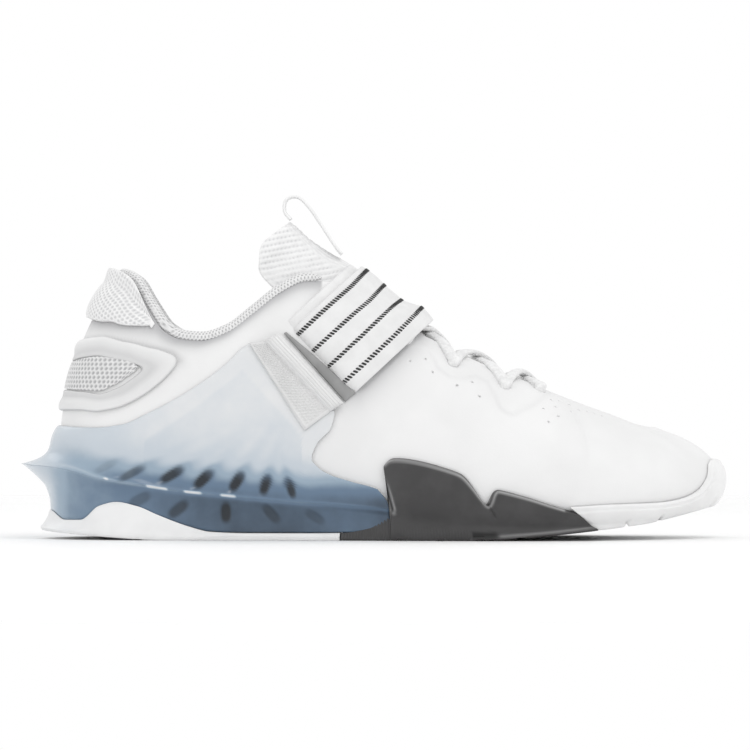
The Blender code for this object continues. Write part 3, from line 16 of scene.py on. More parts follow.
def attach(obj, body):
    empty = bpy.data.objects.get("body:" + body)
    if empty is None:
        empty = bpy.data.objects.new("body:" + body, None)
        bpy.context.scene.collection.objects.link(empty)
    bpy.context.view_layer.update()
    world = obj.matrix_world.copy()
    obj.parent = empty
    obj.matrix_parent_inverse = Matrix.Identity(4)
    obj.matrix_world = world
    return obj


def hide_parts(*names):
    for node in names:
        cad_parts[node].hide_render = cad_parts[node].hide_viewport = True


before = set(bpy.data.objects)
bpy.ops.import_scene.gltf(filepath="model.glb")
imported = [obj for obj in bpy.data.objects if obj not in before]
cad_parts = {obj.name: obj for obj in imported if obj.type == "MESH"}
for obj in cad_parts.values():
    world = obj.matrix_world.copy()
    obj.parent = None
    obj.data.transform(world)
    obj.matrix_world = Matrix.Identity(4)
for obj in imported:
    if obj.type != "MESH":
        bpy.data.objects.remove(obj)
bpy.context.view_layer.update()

MM = 0.001

# The last: the outside of the upper.
UPPER_LENGTH = 0.2834
BALL_WIDTH = 0.0985
COLLAR_HEIGHT = 0.1160
HEEL_LIFT = 0.0258
FOREFOOT_LIFT = 0.0080
TOE_SPRING = 0.0060
UPPER_WALL = 2.2 * MM
ORIGIN_SHARE = 0.478

# The sole.
TREAD = 3.0 * MM
HEEL_BEVEL = 3.6 * MM
WEDGE_LIP = 1.0 * MM
WEDGE_FLARE = 7.0 * MM
FLANGE_WALL = 2.4 * MM
TOE_LIFT = 11.2 * MM
TOE_RAND_WALL = 3.2 * MM
TOE_RAND_HEIGHT = 12.5 * MM
GROOVE_WIDTH = 2.0 * MM
GROOVE_DEPTH = 1.6 * MM
# Where the tread's grooves start, as shares of UPPER_LENGTH.
HEEL_GROOVES = (0.115, 0.200, 0.285, 0.370)
FOREFOOT_GROOVES = (0.520, 0.580, 0.640, 0.700)
TOE_GROOVES = (0.865, 0.915)
# Notches in the toe rand's lower edge: x and depth in millimetres.
TOE_NOTCHES = ((109.6, 2.2), (124.0, 2.0), (145.3, 1.8))

# What goes on the upper.
HEEL_PAD_WALL = 4.2 * MM
FRAME_RISE = 1.3 * MM
MESH_RISE = 0.5 * MM
COLLAR_BEAD = 4.6 * MM
INSOLE_THICKNESS = 4.0 * MM
TONGUE_THICKNESS = 3.0 * MM
TONGUE_PADDING = 5.5 * MM
TONGUE_RISE = 16.0 * MM
LACE_WIDTH = 4.4 * MM
LACE_THICKNESS = 1.7 * MM
EYELET_RADIUS = 2.4 * MM
STRAP_WIDTH = 0.0385
STRAP_THICKNESS = 1.6 * MM
STRAP_LINING_MARGIN = 4.0 * MM
STRAP_LINING_THICKNESS = 1.2 * MM
KEEPER_BAR_THICKNESS = 2.6 * MM
PULL_LOOP_WIDTH = 0.0140
PULL_LOOP_THICKNESS = 1.5 * MM

# Touching pieces stand this far apart.
GAP = 0.3 * MM

# Each column of the skin is a curve with four control points, one on each of these levels. A level
# starts at the heel and ends at the toe at these shares of UPPER_LENGTH.
LEVEL_ENDS = {
    "feather": (0.009, 0.983),
    "belly": (-0.015, 1.014),
    "shoulder": (0.017, 1.014),
    "top": (0.088, 0.903),
}

# One row for each section of the last, at a share of its length. Centre and half widths are shares
# of BALL_WIDTH, drop is the share of the heel's extra lift, spring that of TOE_SPRING, and the rises
# are shares of the wall's height from the feather line to the top.
SECTION_COLUMNS = (
    "at", "centre", "feather", "belly", "shoulder", "drop", "spring", "belly_rise", "shoulder_rise"
)
SECTIONS = (
    (0.00, 0.000, 0.300, 0.360, 0.330, 1.00, 0.00, 0.25, 0.68),
    (0.12, 0.000, 0.300, 0.360, 0.325, 1.00, 0.00, 0.25, 0.68),
    (0.25, -0.005, 0.315, 0.385, 0.335, 0.86, 0.00, 0.24, 0.70),
    (0.38, -0.025, 0.325, 0.405, 0.345, 0.52, 0.00, 0.22, 0.76),
    (0.50, -0.042, 0.360, 0.460, 0.365, 0.22, 0.00, 0.22, 0.80),
    (0.62, -0.040, 0.405, 0.525, 0.405, 0.05, 0.00, 0.24, 0.85),
    (0.72, -0.025, 0.435, 0.560, 0.430, 0.00, 0.00, 0.26, 0.88),
    (0.82, 0.000, 0.435, 0.565, 0.430, 0.00, 0.12, 0.29, 0.86),
    (0.91, 0.035, 0.420, 0.550, 0.400, 0.00, 0.45, 0.29, 0.82),
    (1.00, 0.075, 0.410, 0.535, 0.370, 0.00, 1.00, 0.27, 0.75),
)

# The collar and throat edge, and past the throat the ridge of the vamp. Half width is a share of
# BALL_WIDTH, height of COLLAR_HEIGHT, and shift moves the edge's middle towards the big toe.
TOPLINE_COLUMNS = ("at", "half_width", "height", "shift")
TOPLINE = (
    (0.000, 0.235, 0.965, 0.000),
    (0.030, 0.240, 0.938, 0.000),
    (0.060, 0.248, 0.848, 0.000),
    (0.090, 0.255, 0.765, 0.000),
    (0.120, 0.262, 0.735, 0.005),
    (0.155, 0.268, 0.729, 0.010),
    (0.200, 0.270, 0.755, 0.015),
    (0.250, 0.266, 0.825, 0.020),
    (0.300, 0.254, 0.900, 0.025),
    (0.350, 0.232, 0.945, 0.030),
    (0.395, 0.205, 0.948, 0.035),
    (0.440, 0.182, 0.905, 0.040),
    (0.500, 0.168, 0.819, 0.045),
    (0.600, 0.155, 0.712, 0.045),
    (0.700, 0.140, 0.619, 0.040),
    (0.795, 0.120, 0.547, 0.030),
    (0.900, 0.100, 0.468, 0.020),
    (1.000, 0.080, 0.408, 0.000),
)
THROAT_END = 0.795
THROAT_ROUND = 0.045
HEEL_ROUND = 0.125
TOE_ROUND = 0.235
HEEL_POWER = 2.1
TOE_POWER = 2.15


def unit(vectors):
    """Vectors with a length of one."""
    return vectors / np.maximum(np.linalg.norm(vectors, axis=-1, keepdims=True), 1e-12)


def way_along(line):
    """How far each point of a line lies along it."""
    return np.concatenate([[0], np.cumsum(np.linalg.norm(np.diff(line, axis=0), axis=1))])


def blend(a, b, share):
    return a + (b - a) * share


def softened(line, rounds):
    """A line with its kinks evened out and its ends kept."""
    for _ in range(rounds):
        line[1:-1] = (line[:-2] + 2 * line[1:-1] + line[2:]) / 4
    return line


def along(share):
    """The x of a share of the upper's length from the heel."""
    return (share - ORIGIN_SHARE) * UPPER_LENGTH


def smooth(at, table_at, values):
    """A smooth curve through a table's values that never overshoots them."""
    table_at = np.asarray(table_at, float)
    values = np.asarray(values, float)
    steps = np.diff(table_at)
    slopes = np.diff(values) / steps
    tangents = np.zeros(len(values))
    for i in range(1, len(values) - 1):
        before, after = slopes[i - 1], slopes[i]
        if before * after > 0:
            w1 = 2 * steps[i] + steps[i - 1]
            w2 = steps[i] + 2 * steps[i - 1]
            tangents[i] = (w1 + w2) / (w1 / before + w2 / after)
    at = np.clip(at, table_at[0], table_at[-1])
    i = np.clip(np.searchsorted(table_at, at, side="right") - 1, 0, len(steps) - 1)
    h = steps[i]
    s = (at - table_at[i]) / h
    return (
        values[i] * (1 + 2 * s) * (1 - s) ** 2
        + tangents[i] * h * s * (1 - s) ** 2
        + values[i + 1] * s * s * (3 - 2 * s)
        + tangents[i + 1] * h * s * s * (s - 1)
    )


def table_column(table, columns, name, at, read=smooth):
    """One named column of a table, read at a place in its first column."""
    column = columns.index(name)
    return read(at, [row[0] for row in table], [row[column] for row in table])


def section(name, at):
    """A measure of the last's section at a share of the length."""
    return table_column(SECTIONS, SECTION_COLUMNS, name, at)


def topline(name, at):
    """A measure of the collar and throat edge at a share of the length."""
    return table_column(TOPLINE, TOPLINE_COLUMNS, name, at)


def rounded(distance, reach, power):
    """From 0 at an end to 1 at the reach, with the round plan of a heel or toe."""
    share = 1 - np.clip(distance / reach, 0, 1)
    return (1 - share**power) ** (1 / power)


def feather_height(at):
    """The height of the upper's lower edge."""
    lift = FOREFOOT_LIFT + (HEEL_LIFT - FOREFOOT_LIFT) * section("drop", at)
    return lift + TOE_SPRING * section("spring", at)


def control_points(at, side):
    """The four control points of the column at a share of the length; side is -1 lateral, +1 medial."""
    at = np.asarray(at, float)
    ends = rounded(at, HEEL_ROUND, HEEL_POWER) * rounded(1 - at, TOE_ROUND, TOE_POWER)
    low = feather_height(at)
    high = topline("height", at) * COLLAR_HEIGHT
    centre = section("centre", at) * BALL_WIDTH
    top_centre = centre + topline("shift", at) * BALL_WIDTH
    open_share = rounded(np.maximum(THROAT_END - at, 0), THROAT_ROUND, 2.0)
    top_half = topline("half_width", at) * open_share * rounded(at, HEEL_ROUND, HEEL_POWER)
    levels = (
        ("feather", centre, section("feather", at) * ends, low),
        ("belly", centre, section("belly", at) * ends, low + section("belly_rise", at) * (high - low)),
        ("shoulder", 0.6 * centre + 0.4 * top_centre, section("shoulder", at) * ends,
         low + section("shoulder_rise", at) * (high - low)),
        ("top", top_centre, top_half, high),
    )
    points = []
    for level, middle, half_width, height in levels:
        start, end = LEVEL_ENDS[level]
        x = along(start + (end - start) * at)
        points.append(np.stack([x, middle + side * half_width * BALL_WIDTH, height + 0 * at], -1))
    return points


def bezier(points, v):
    """A place on the curve of four control points."""
    p0, p1, p2, p3 = points
    v = np.asarray(v, float)[..., None]
    w = 1 - v
    return p0 * w**3 + 3 * p1 * w * w * v + 3 * p2 * w * v * v + p3 * v**3


def perimeter_table():
    """How the share of the length grows with the share of the way round from heel to toe."""
    at = 0.5 - 0.5 * np.cos(np.linspace(0, math.pi, 801))
    low = bezier(control_points(at, 1), np.full(len(at), 0.3))
    low[:, 1] -= section("centre", at) * BALL_WIDTH
    way = way_along(low[:, :2])
    return way / way[-1], at


WAY, WAY_AT = perimeter_table()


def at_of(u):
    """Share of the length at a way round u: 0 at the heel, 1 at the toe, negative on the lateral side."""
    return np.interp(np.abs(u), WAY, WAY_AT)


def way_of(at):
    """The way round, from 0 at the heel to 1 at the toe, of a share of the length."""
    return np.interp(at, WAY_AT, WAY)


def skin_raw(u, v):
    """A point on the upper's skin, with v from 0 at its lower edge to 1 at the top."""
    u = np.asarray(u, float)
    u = (u + 1) % 2 - 1
    side = np.where(u < 0, -1.0, 1.0)
    return bezier(control_points(at_of(u), side), v)


def skin_normal(u, v):
    """The outward normal of the skin."""
    step = 2e-3
    v = np.clip(np.asarray(v, float), 0.01, 0.985)
    du = skin_raw(u + step, v) - skin_raw(u - step, v)
    dv = skin_raw(u, v + 0.01) - skin_raw(u, v - 0.01)
    return unit(np.cross(dv, du))


def skin(u, v, offset=0.0):
    """A point on the upper's skin, or that far outside it."""
    u, v = np.broadcast_arrays(np.asarray(u, float), np.asarray(v, float))
    return skin_raw(u, v) + skin_normal(u, v) * np.asarray(offset, float)[..., None]


# A fine net of the skin, to look places up quickly.
NET_U = np.linspace(-1, 1, 1921)
NET_V = np.linspace(0, 1, 61)
NET_PLACE = skin_raw(NET_U[:, None] + 0 * NET_V, NET_V + 0 * NET_U[:, None])
NET_NORMAL = skin_normal(NET_U[:, None] + 0 * NET_V, NET_V + 0 * NET_U[:, None])
SIDE_U = NET_U[960::4]
SIDE_NET = NET_PLACE[960::4]


def u_v_of(x, z):
    """The way round and the share up the skin of a place seen from the side."""
    vs = np.array([np.interp(z, column[:, 2], NET_V) for column in SIDE_NET])
    xs = np.array([np.interp(v, NET_V, column[:, 0]) for v, column in zip(vs, SIDE_NET)])
    u = float(np.interp(x, xs, SIDE_U))
    return u, float(np.interp(u, SIDE_U, vs))


def shell_points(u, z, out):
    """The points at heights z on the surface that far outside the skin."""
    u, z, out = (np.ravel(a) for a in np.broadcast_arrays(u, z, out))
    spot = (u + 1) / 2 * (len(NET_U) - 1)
    i = np.clip(spot.astype(int), 0, len(NET_U) - 2)
    share = (spot - i)[:, None, None]
    line = NET_PLACE[i] * (1 - share) + NET_PLACE[i + 1] * share
    line = line + (NET_NORMAL[i] * (1 - share) + NET_NORMAL[i + 1] * share) * out[:, None, None]
    heights = np.maximum.accumulate(line[:, :, 2], axis=1)
    k = np.clip((heights < z[:, None]).sum(axis=1) - 1, 0, heights.shape[1] - 2)
    n = np.arange(len(z))
    low, high = heights[n, k], heights[n, k + 1]
    part = np.clip((z - low) / np.maximum(high - low, 1e-12), 0, 1)[:, None]
    places = line[n, k] * (1 - part) + line[n, k + 1] * part
    places[:, 2] = z
    return places


def shell_point(u, z, out):
    return shell_points(u, z, out)[0]


def edge_heights(rows):
    """Heights along the way round, from places seen from the side as shares of the upper's length
    and of the collar's height."""
    ways = []
    heights = []
    for share, height in rows:
        u, _ = u_v_of(along(share), height * COLLAR_HEIGHT)
        if ways and u <= ways[-1]:
            u = ways[-1] + 1e-4
        ways.append(u)
        heights.append(height * COLLAR_HEIGHT)
    return np.array(ways), np.array(heights)


def soft_step(value, reach):
    """0 below 0 and 1 above the reach, with a soft start and end."""
    share = np.clip(np.asarray(value, float) / reach, 0, 1)
    return share * share * (3 - 2 * share)


def hump(value, width, power=2):
    """1 where a value is 0, fading away over the width."""
    return np.exp(-((value / width) ** power))


def wave(value, pitch, phase=0.0):
    """0 to 1 and back over each pitch, 1 where the value is 0."""
    return 0.5 + 0.5 * np.cos(value * 2 * math.pi / pitch + phase)


def ripple(value, pitch):
    """-1 to 1 and back over each pitch."""
    return np.sin(value * 2 * math.pi / pitch)


def flowing(points, count):
    """A smooth line through points, evenly read."""
    points = np.asarray(points, float)
    line = np.concatenate([2 * points[:1] - points[1:2], points, 2 * points[-1:] - points[-2:-1]])
    spans = len(points) - 1
    ways = np.linspace(0, spans, count)
    i = np.minimum(ways.astype(int), spans - 1)
    s = (ways - i)[:, None]
    a, b, c, d = (line[i + k] for k in range(4))
    return 0.5 * (2 * b + (c - a) * s + (2 * a - 5 * b + 4 * c - d) * s**2 + (3 * b - a - 3 * c + d) * s**3)


def evened(line, count):
    """A line read again at even steps of its length."""
    line = np.asarray(line, float)
    way = way_along(line)
    steps = np.linspace(0, way[-1], count)
    return np.stack([np.interp(steps, way, line[:, i]) for i in range(line.shape[1])], 1)


def flowing_rows(grid, rows):
    """A grid of points with more rows, on smooth curves down its columns."""
    return np.stack([flowing(grid[:, j], rows) for j in range(grid.shape[1])], 1)


def line_distance(x, z, line):
    """How far places seen from the side lie from a line there, in the line's unit."""
    line = np.asarray(line, float)
    x, z = np.asarray(x, float)[..., None], np.asarray(z, float)[..., None]
    (ax, az), (dx, dz) = line[:-1].T, np.diff(line, axis=0).T
    share = np.clip(((x - ax) * dx + (z - az) * dz) / np.maximum(dx * dx + dz * dz, 1e-12), 0, 1)
    return np.sqrt((x - ax - share * dx) ** 2 + (z - az - share * dz) ** 2).min(axis=-1)


def side_mm(points):
    """The x and z of points in millimetres."""
    return points[..., 0] / MM, points[..., 2] / MM


def grid_normals(grid):
    """The normals of a grid of points that face up in its middle."""
    normals = unit(np.cross(np.gradient(grid, axis=0), np.gradient(grid, axis=1)))
    rows, columns = grid.shape[:2]
    return -normals if normals[rows // 3, columns // 2, 2] < 0 else normals


# Meshes.


def placed(name, data):
    obj = bpy.data.objects.new(name, data)
    bpy.context.scene.collection.objects.link(obj)
    return obj


def grid_quads(rows, columns, start=0, closed=False, flip=False):
    """The faces of a grid of points, counted row by row from a start."""
    i = np.arange(rows if closed else rows - 1)[:, None]
    j = np.arange(columns - 1)[None]
    k = (i + 1) % rows
    a, b = i * columns + j, k * columns + j
    quads = np.stack([a, b, b + 1, a + 1], -1).reshape(-1, 4) + start
    return quads[:, ::-1] if flip else quads


def made(name, points, faces, finish, replaces=(), sharp=None, attributes=None, merge=True):
    """A piece from points and faces: closed, facing out, smoothly shaded and riding on the shoe."""
    mesh = bpy.data.meshes.new(name)
    mesh.from_pydata(np.asarray(points, float).tolist(), [], [list(map(int, f)) for f in faces])
    for title, values in (attributes or {}).items():
        layer = mesh.attributes.new(title, "FLOAT", "POINT")
        layer.data.foreach_set("value", np.asarray(values, np.float32).ravel())
    tidy_mesh(mesh, merge)
    mesh.shade_smooth()
    if sharp:
        mesh.set_sharp_from_angle(angle=math.radians(sharp))
    mesh.materials.append(finish)
    obj = placed(name, mesh)
    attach(obj, "root")
    if replaces:
        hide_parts(*replaces)
    return obj


def tidy_mesh(mesh, merge=True):
    """Joins points that coincide and turns the faces out."""
    bm = bmesh.new()
    bm.from_mesh(mesh)
    if merge:
        bmesh.ops.remove_doubles(bm, verts=bm.verts, dist=2e-6)
        bmesh.ops.dissolve_degenerate(bm, edges=bm.edges, dist=1e-7)
    bmesh.ops.recalc_face_normals(bm, faces=bm.faces)
    if bm.calc_volume(signed=True) < 0:
        bmesh.ops.reverse_faces(bm, faces=bm.faces)
    bm.to_mesh(mesh)
    bm.free()


def slab(name, inner, outer, finish, replaces=(), closed=False, open_ends=(), sharp=None,
         attributes=None):
    """A closed piece between two grids of points. Open ends lie on themselves, as at a heel."""
    inner, outer = np.asarray(inner, float), np.asarray(outer, float)
    rows, columns = inner.shape[:2]
    count = rows * columns
    points = np.concatenate([inner.reshape(-1, 3), outer.reshape(-1, 3)])
    faces = [grid_quads(rows, columns, 0, closed, True), grid_quads(rows, columns, count, closed)]
    i = np.arange(rows if closed else rows - 1)
    for j, flip in ((0, False), (columns - 1, True)):
        a, b = i * columns + j, ((i + 1) % rows) * columns + j
        rim = np.stack([a, b, b + count, a + count], -1)
        faces.append(rim[:, ::-1] if flip else rim)
    if not closed:
        j = np.arange(columns - 1)
        for row, flip in ((0, True), (rows - 1, False)):
            if row not in open_ends:
                a = row * columns + j
                rim = np.stack([a, a + 1, a + 1 + count, a + count], -1)
                faces.append(rim[:, ::-1] if flip else rim)
    values = None
    if attributes:
        values = {
            title: np.concatenate([np.zeros(count), np.asarray(v, float).ravel()])
            for title, v in attributes.items()
        }
    return made(name, points, np.concatenate(faces), finish, replaces, sharp, values)


def tube(path, ups, width, thickness, sides, power, relief):
    """The rings of points of a flat round band along a path. Relief is added to it, by its way along
    and round."""
    path, ups = np.asarray(path, float), np.asarray(ups, float)
    ways = unit(np.gradient(path, axis=0))
    across = unit(np.cross(ways, ups))
    up = np.cross(across, ways)
    turns = np.arange(sides) * 2 * math.pi / sides
    c, s = np.cos(turns), np.sin(turns)
    c, s = np.sign(c) * np.abs(c) ** power, np.sign(s) * np.abs(s) ** power
    width, thickness = np.broadcast_to(width, len(path)), np.broadcast_to(thickness, len(path))
    ring = (
        across[:, None] * c[None, :, None] * (width / 2)[:, None, None]
        + up[:, None] * s[None, :, None] * (thickness / 2)[:, None, None]
    )
    way = way_along(path)[:, None]
    ring = ring + unit(ring) * relief(way, turns[None] + 0 * way)[..., None]
    return path[:, None] + ring


def tube_faces(rings, sides, start=0):
    """Quads along a closed tube, and fans over its two ends."""
    i = np.arange(rings - 1)[:, None]
    j = np.arange(sides)[None]
    k = (j + 1) % sides
    quads = np.stack([i * sides + j, i * sides + k, (i + 1) * sides + k, (i + 1) * sides + j], -1)
    faces = (quads.reshape(-1, 4) + start).tolist()
    last = start + (rings - 1) * sides
    faces.append([start + n for n in range(sides)][::-1])
    faces.append([last + n for n in range(sides)])
    return faces


def joined_tubes(name, tubes, finish, replaces, attributes=None):
    points = []
    faces = []
    for rings in tubes:
        faces += tube_faces(rings.shape[0], rings.shape[1], len(points))
        points += rings.reshape(-1, 3).tolist()
    return made(name, points, faces, finish, replaces, None, attributes, merge=False)


def tree_of(objects):
    """A tree of several objects' faces, to measure distances and cast rays at."""
    points = []
    faces = []
    for obj in objects:
        start = len(points)
        points += [tuple(v.co) for v in obj.data.vertices]
        faces += [[start + i for i in p.vertices] for p in obj.data.polygons]
    return BVHTree.FromPolygons([Vector(p) for p in points], faces)


def inside(tree, point):
    """Whether a point lies inside closed pieces: a ray from it crosses them an odd number of times."""
    way = Vector((0.21, 0.37, 0.91))
    start = Vector(point)
    crossings = 0
    hit = tree.ray_cast(start, way)
    while hit[0] is not None:
        crossings += 1
        start = hit[0] + way * 1e-6
        hit = tree.ray_cast(start, way)
    return crossings % 2 == 1


def clearance(tree, point):
    """How far a point stands outside closed pieces; negative inside them."""
    place, normal, _, distance = tree.find_nearest(Vector(point))
    if (Vector(point) - place).dot(normal) < 0 and inside(tree, point):
        return -distance
    return distance


def settled(facing, backing, tree, gap, rounds=3):
    """Moves two grids of points away from what the first one faces, until it keeps the gap. The
    way to go is from the first grid to the second."""
    facing, backing = np.array(facing, float), np.array(backing, float)
    away = unit(backing - facing)
    for _ in range(rounds):
        push = np.array([[gap - clearance(tree, p) for p in row] for row in facing])
        push = np.clip(push, 0, 3 * MM)
        if push.max() < 1e-5:
            break
        facing += away * push[..., None]
        backing += away * push[..., None]
    return facing, backing


def cut(obj, cutter_points, cutter_faces):
    """Cuts one mesh of separate pegs out of a piece."""
    mesh = bpy.data.meshes.new("cutter")
    mesh.from_pydata([tuple(map(float, p)) for p in cutter_points], [], cutter_faces)
    tidy_mesh(mesh)
    cutter = placed("cutter", mesh)
    modifier = obj.modifiers.new("cut", "BOOLEAN")
    modifier.operation = "DIFFERENCE"
    modifier.solver = "EXACT"
    modifier.object = cutter
    depsgraph = bpy.context.evaluated_depsgraph_get()
    result = bpy.data.meshes.new_from_object(obj.evaluated_get(depsgraph))
    obj.modifiers.clear()
    old = obj.data
    obj.data = result
    result.name = old.name + "_cut"
    bpy.data.objects.remove(cutter)
    result.shade_smooth()


def peg(start, end, radius, sides, first):
    """The points and faces of a round peg between two points."""
    start, end = np.asarray(start, float), np.asarray(end, float)
    axis = unit(end - start)
    across = unit(np.cross(axis, (0.31, 0.57, 0.76)))
    other = np.cross(axis, across)
    ring = [
        (across * math.cos(t) + other * math.sin(t)) * radius
        for t in np.arange(sides) * 2 * math.pi / sides
    ]
    points = [start + r for r in ring] + [end + r for r in ring]
    faces = [[first + n for n in range(sides)][::-1], [first + sides + n for n in range(sides)]]
    for n in range(sides):
        m = (n + 1) % sides
        faces.append([first + n, first + m, first + sides + m, first + sides + n])
    return points, faces


# The lace holes, from the toe up, seen from the side in millimetres, and as shares of the length
# and up the skin.
EYELET_PLACES = ((70.0, 63.6), (55.0, 65.2), (33.2, 74.8), (13.0, 84.5))
EYELETS = [
    (float(at_of(u)), float(v)) for u, v in (u_v_of(x * MM, z * MM) for x, z in EYELET_PLACES)
]


# Before and after these shares of the length the floor's spokes meet in one point.
SPOKE_ENDS = (0.10, 0.89)


def spoke(at, z):
    """The point on the centre line that a section's floor runs to."""
    held = np.clip(at, *SPOKE_ENDS)
    start, end = LEVEL_ENDS["feather"]
    return np.array([along(start + (end - start) * held), section("centre", held) * BALL_WIDTH, z])


# The tread's heel bevel ends, and its toe spring starts, at these shares of the length.
BEVEL_END = 0.15
SPRING_START = 0.64


def ground(at):
    """The height of the tread: flat under the foot, bevelled at the heel, sprung at the toe."""
    heel = HEEL_BEVEL * np.clip((BEVEL_END - at) / BEVEL_END, 0, 1) ** 1.4
    toe = TOE_LIFT * np.clip((at - SPRING_START) / (1 - SPRING_START), 0, 1) ** 1.4
    return float(heel + toe)


def whole(rows, make):
    """Each row's points from the lateral edge through the centre line to the medial edge."""
    return np.array([make(row, -1) + make(row, 1)[::-1][1:] for row in rows])


def plain_row(way):
    """A row that stands upright: the share of the length is the same at each height."""
    at = float(at_of(way))
    return lambda z: at + 0 * np.asarray(z, float)


def floor_height(at):
    """The top of the sole's parts, just below the upper."""
    return float(feather_height(at)) - GAP


# The top of the wedge's film on the upper, up to its peak: shares of the length and of
# COLLAR_HEIGHT.
WEDGE_TOP = (
    (0.000, 0.419),
    (0.060, 0.412),
    (0.100, 0.424),
    (0.137, 0.464),
    (0.175, 0.512),
    (0.212, 0.567),
    (0.258, 0.652),
    (0.281, 0.707),
    (0.299, 0.722),
)

# The wedge below its film: the ridge's height and the foot's, as shares of HEEL_LIFT, and how far
# the waist, the ridge and the foot stand out, as shares of WEDGE_FLARE. Base is the outsole's edge.
WEDGE_COLUMNS = ("at", "ridge_height", "foot_height", "waist", "ridge", "foot", "base")
WEDGE = (
    (0.000, 1.245, 0.500, 0.62, 2.45, 0.98, 1.62),
    (0.020, 1.215, 0.345, 0.55, 1.95, 0.92, 1.50),
    (0.040, 1.150, 0.350, 0.48, 1.50, 0.86, 1.36),
    (0.065, 1.045, 0.585, 0.42, 1.30, 0.80, 1.22),
    (0.088, 0.985, 0.650, 0.38, 1.18, 0.74, 1.10),
    (0.115, 0.935, 0.585, 0.35, 1.10, 0.70, 1.02),
    (0.150, 0.870, 0.430, 0.28, 1.03, 0.66, 0.95),
    (0.200, 0.795, 0.235, 0.22, 0.97, 0.62, 0.88),
    (0.230, 0.765, 0.155, 0.19, 0.92, 0.58, 0.82),
    (0.290, 0.700, 0.132, 0.15, 0.82, 0.52, 0.72),
    (0.370, 0.630, 0.132, 0.15, 0.70, 0.45, 0.62),
    (0.430, 0.585, 0.140, 0.16, 0.60, 0.38, 0.54),
    (0.475, 0.540, 0.220, 0.21, 0.50, 0.30, 0.46),
    (0.508, 0.500, 0.420, 0.20, 0.42, 0.24, 0.40),
)
WEDGE_FRONT = 0.5077
WEDGE_FRONT_LEAN = 0.019
# The heights where that lean starts, and over which it grows.
LEAN_START = 10.5 * MM
LEAN_HEIGHT = 24.5 * MM
# The height a row of the wedge is looked up at, and the height where its film runs into its foot.
WEDGE_LEVEL = 20 * MM
FILM_FOOT = 15 * MM
# Gaps between the sole's parts, as shares of the length.
FILM_JOINT = 0.0022
HEEL_JOINT = 0.0015
TOE_JOINT_HALF = 0.0008
# Where the forefoot's flat rear ends below the wedge, and where its flange starts.
PLATE_THIN_END = 0.490
PLATE_END = 0.5065
HEEL_OUTSOLE_END = 0.4300
LEDGE = 7.0 * MM
LIP_GAP = GAP + 0.15 * MM
# The height a lip's foot is looked up at, and the least height of a lip over the floor.
LIP_FOOT = 8 * MM
LIP_LEAST = 1.5 * MM


def wedge(name, at):
    """A height or a reach of the wedge at a share of the length, in metres."""
    value = table_column(WEDGE, WEDGE_COLUMNS, name, at)
    return value * (HEEL_LIFT if name.endswith("height") else WEDGE_FLARE)


def flange_back(z):
    """Where the forefoot's side flange starts, leaning back with height."""
    return WEDGE_FRONT - WEDGE_FRONT_LEAN * np.clip((z - LEAN_START) / LEAN_HEIGHT, 0, 1)


def ledge_points(at, way, side, gap):
    """The joint between the wedge and the outsoles: down from the edge to the tread's height."""
    low = TREAD + gap + max(0.0, ground(at) * 0.6)
    foot = float(wedge("foot_height", at)) + gap
    low = min(low, foot)
    rise = np.clip((at - 0.455) / 0.05, 0, 1)
    low = blend(low, foot, rise)
    edge = shell_point(side * way, foot, float(wedge("foot", at)))
    start = SPOKE_ENDS[0]
    held = min(low, TREAD + gap + 0.6 * ground(start)) if at < start else low
    middle = spoke(at, held)
    inward = unit(middle[:2] - edge[:2])
    ledge = np.array([*(edge[:2] + inward * LEDGE), low])
    return edge, ledge, blend(ledge, middle, 0.5), middle


# The toe rand's top edge, as shares of the length and of TOE_RAND_HEIGHT, and how thick it is, as
# a share of TOE_RAND_WALL.
TOE_RAND_COLUMNS = ("at", "height", "out")
TOE_RAND = (
    (0.760, 1.150, 0.75),
    (0.830, 1.230, 0.85),
    (0.905, 1.280, 1.00),
    (0.940, 1.400, 1.05),
    (0.962, 1.640, 1.05),
    (0.975, 2.050, 1.00),
    (0.986, 2.560, 0.95),
    (1.000, 2.720, 0.95),
)
TOE_JOINT = 0.823
TOE_JOINT_LEAN = 0.050
TOE_JOINT_START = 4 * MM
TOE_JOINT_HEIGHT = 10 * MM


def toe_joint(z):
    """The slanted joint between the dark forefoot and the toe's rand."""
    return TOE_JOINT - TOE_JOINT_LEAN * np.clip((z - TOE_JOINT_START) / TOE_JOINT_HEIGHT, 0, 1)


def lip_inner(row, side, top, steps):
    """From the top of a lip down the skin to the feather line, then to the centre line."""
    bottom = floor_height(row(LIP_FOOT))
    z = np.linspace(top, bottom, steps)
    points = list(shell_points(side * way_of(row(z)), z, LIP_GAP))
    middle = spoke(row(bottom), floor_height(np.clip(row(bottom), 0, SPOKE_ENDS[1])))
    return points + [blend(points[-1], middle, 0.5), middle]


# The tongue's free top: places of its middle and of its wings seen from the side, as shares of the
# length and of COLLAR_HEIGHT, and its half width as a share of BALL_WIDTH.
TONGUE_TOP = (
    (0.3480, 1.1700, 0.3240, 1.1250, 0.130),
    (0.3545, 1.1600, 0.3070, 1.0850, 0.170),
    (0.3640, 1.1400, 0.3035, 1.0250, 0.182),
    (0.3790, 1.1060, 0.3120, 0.9550, 0.176),
)

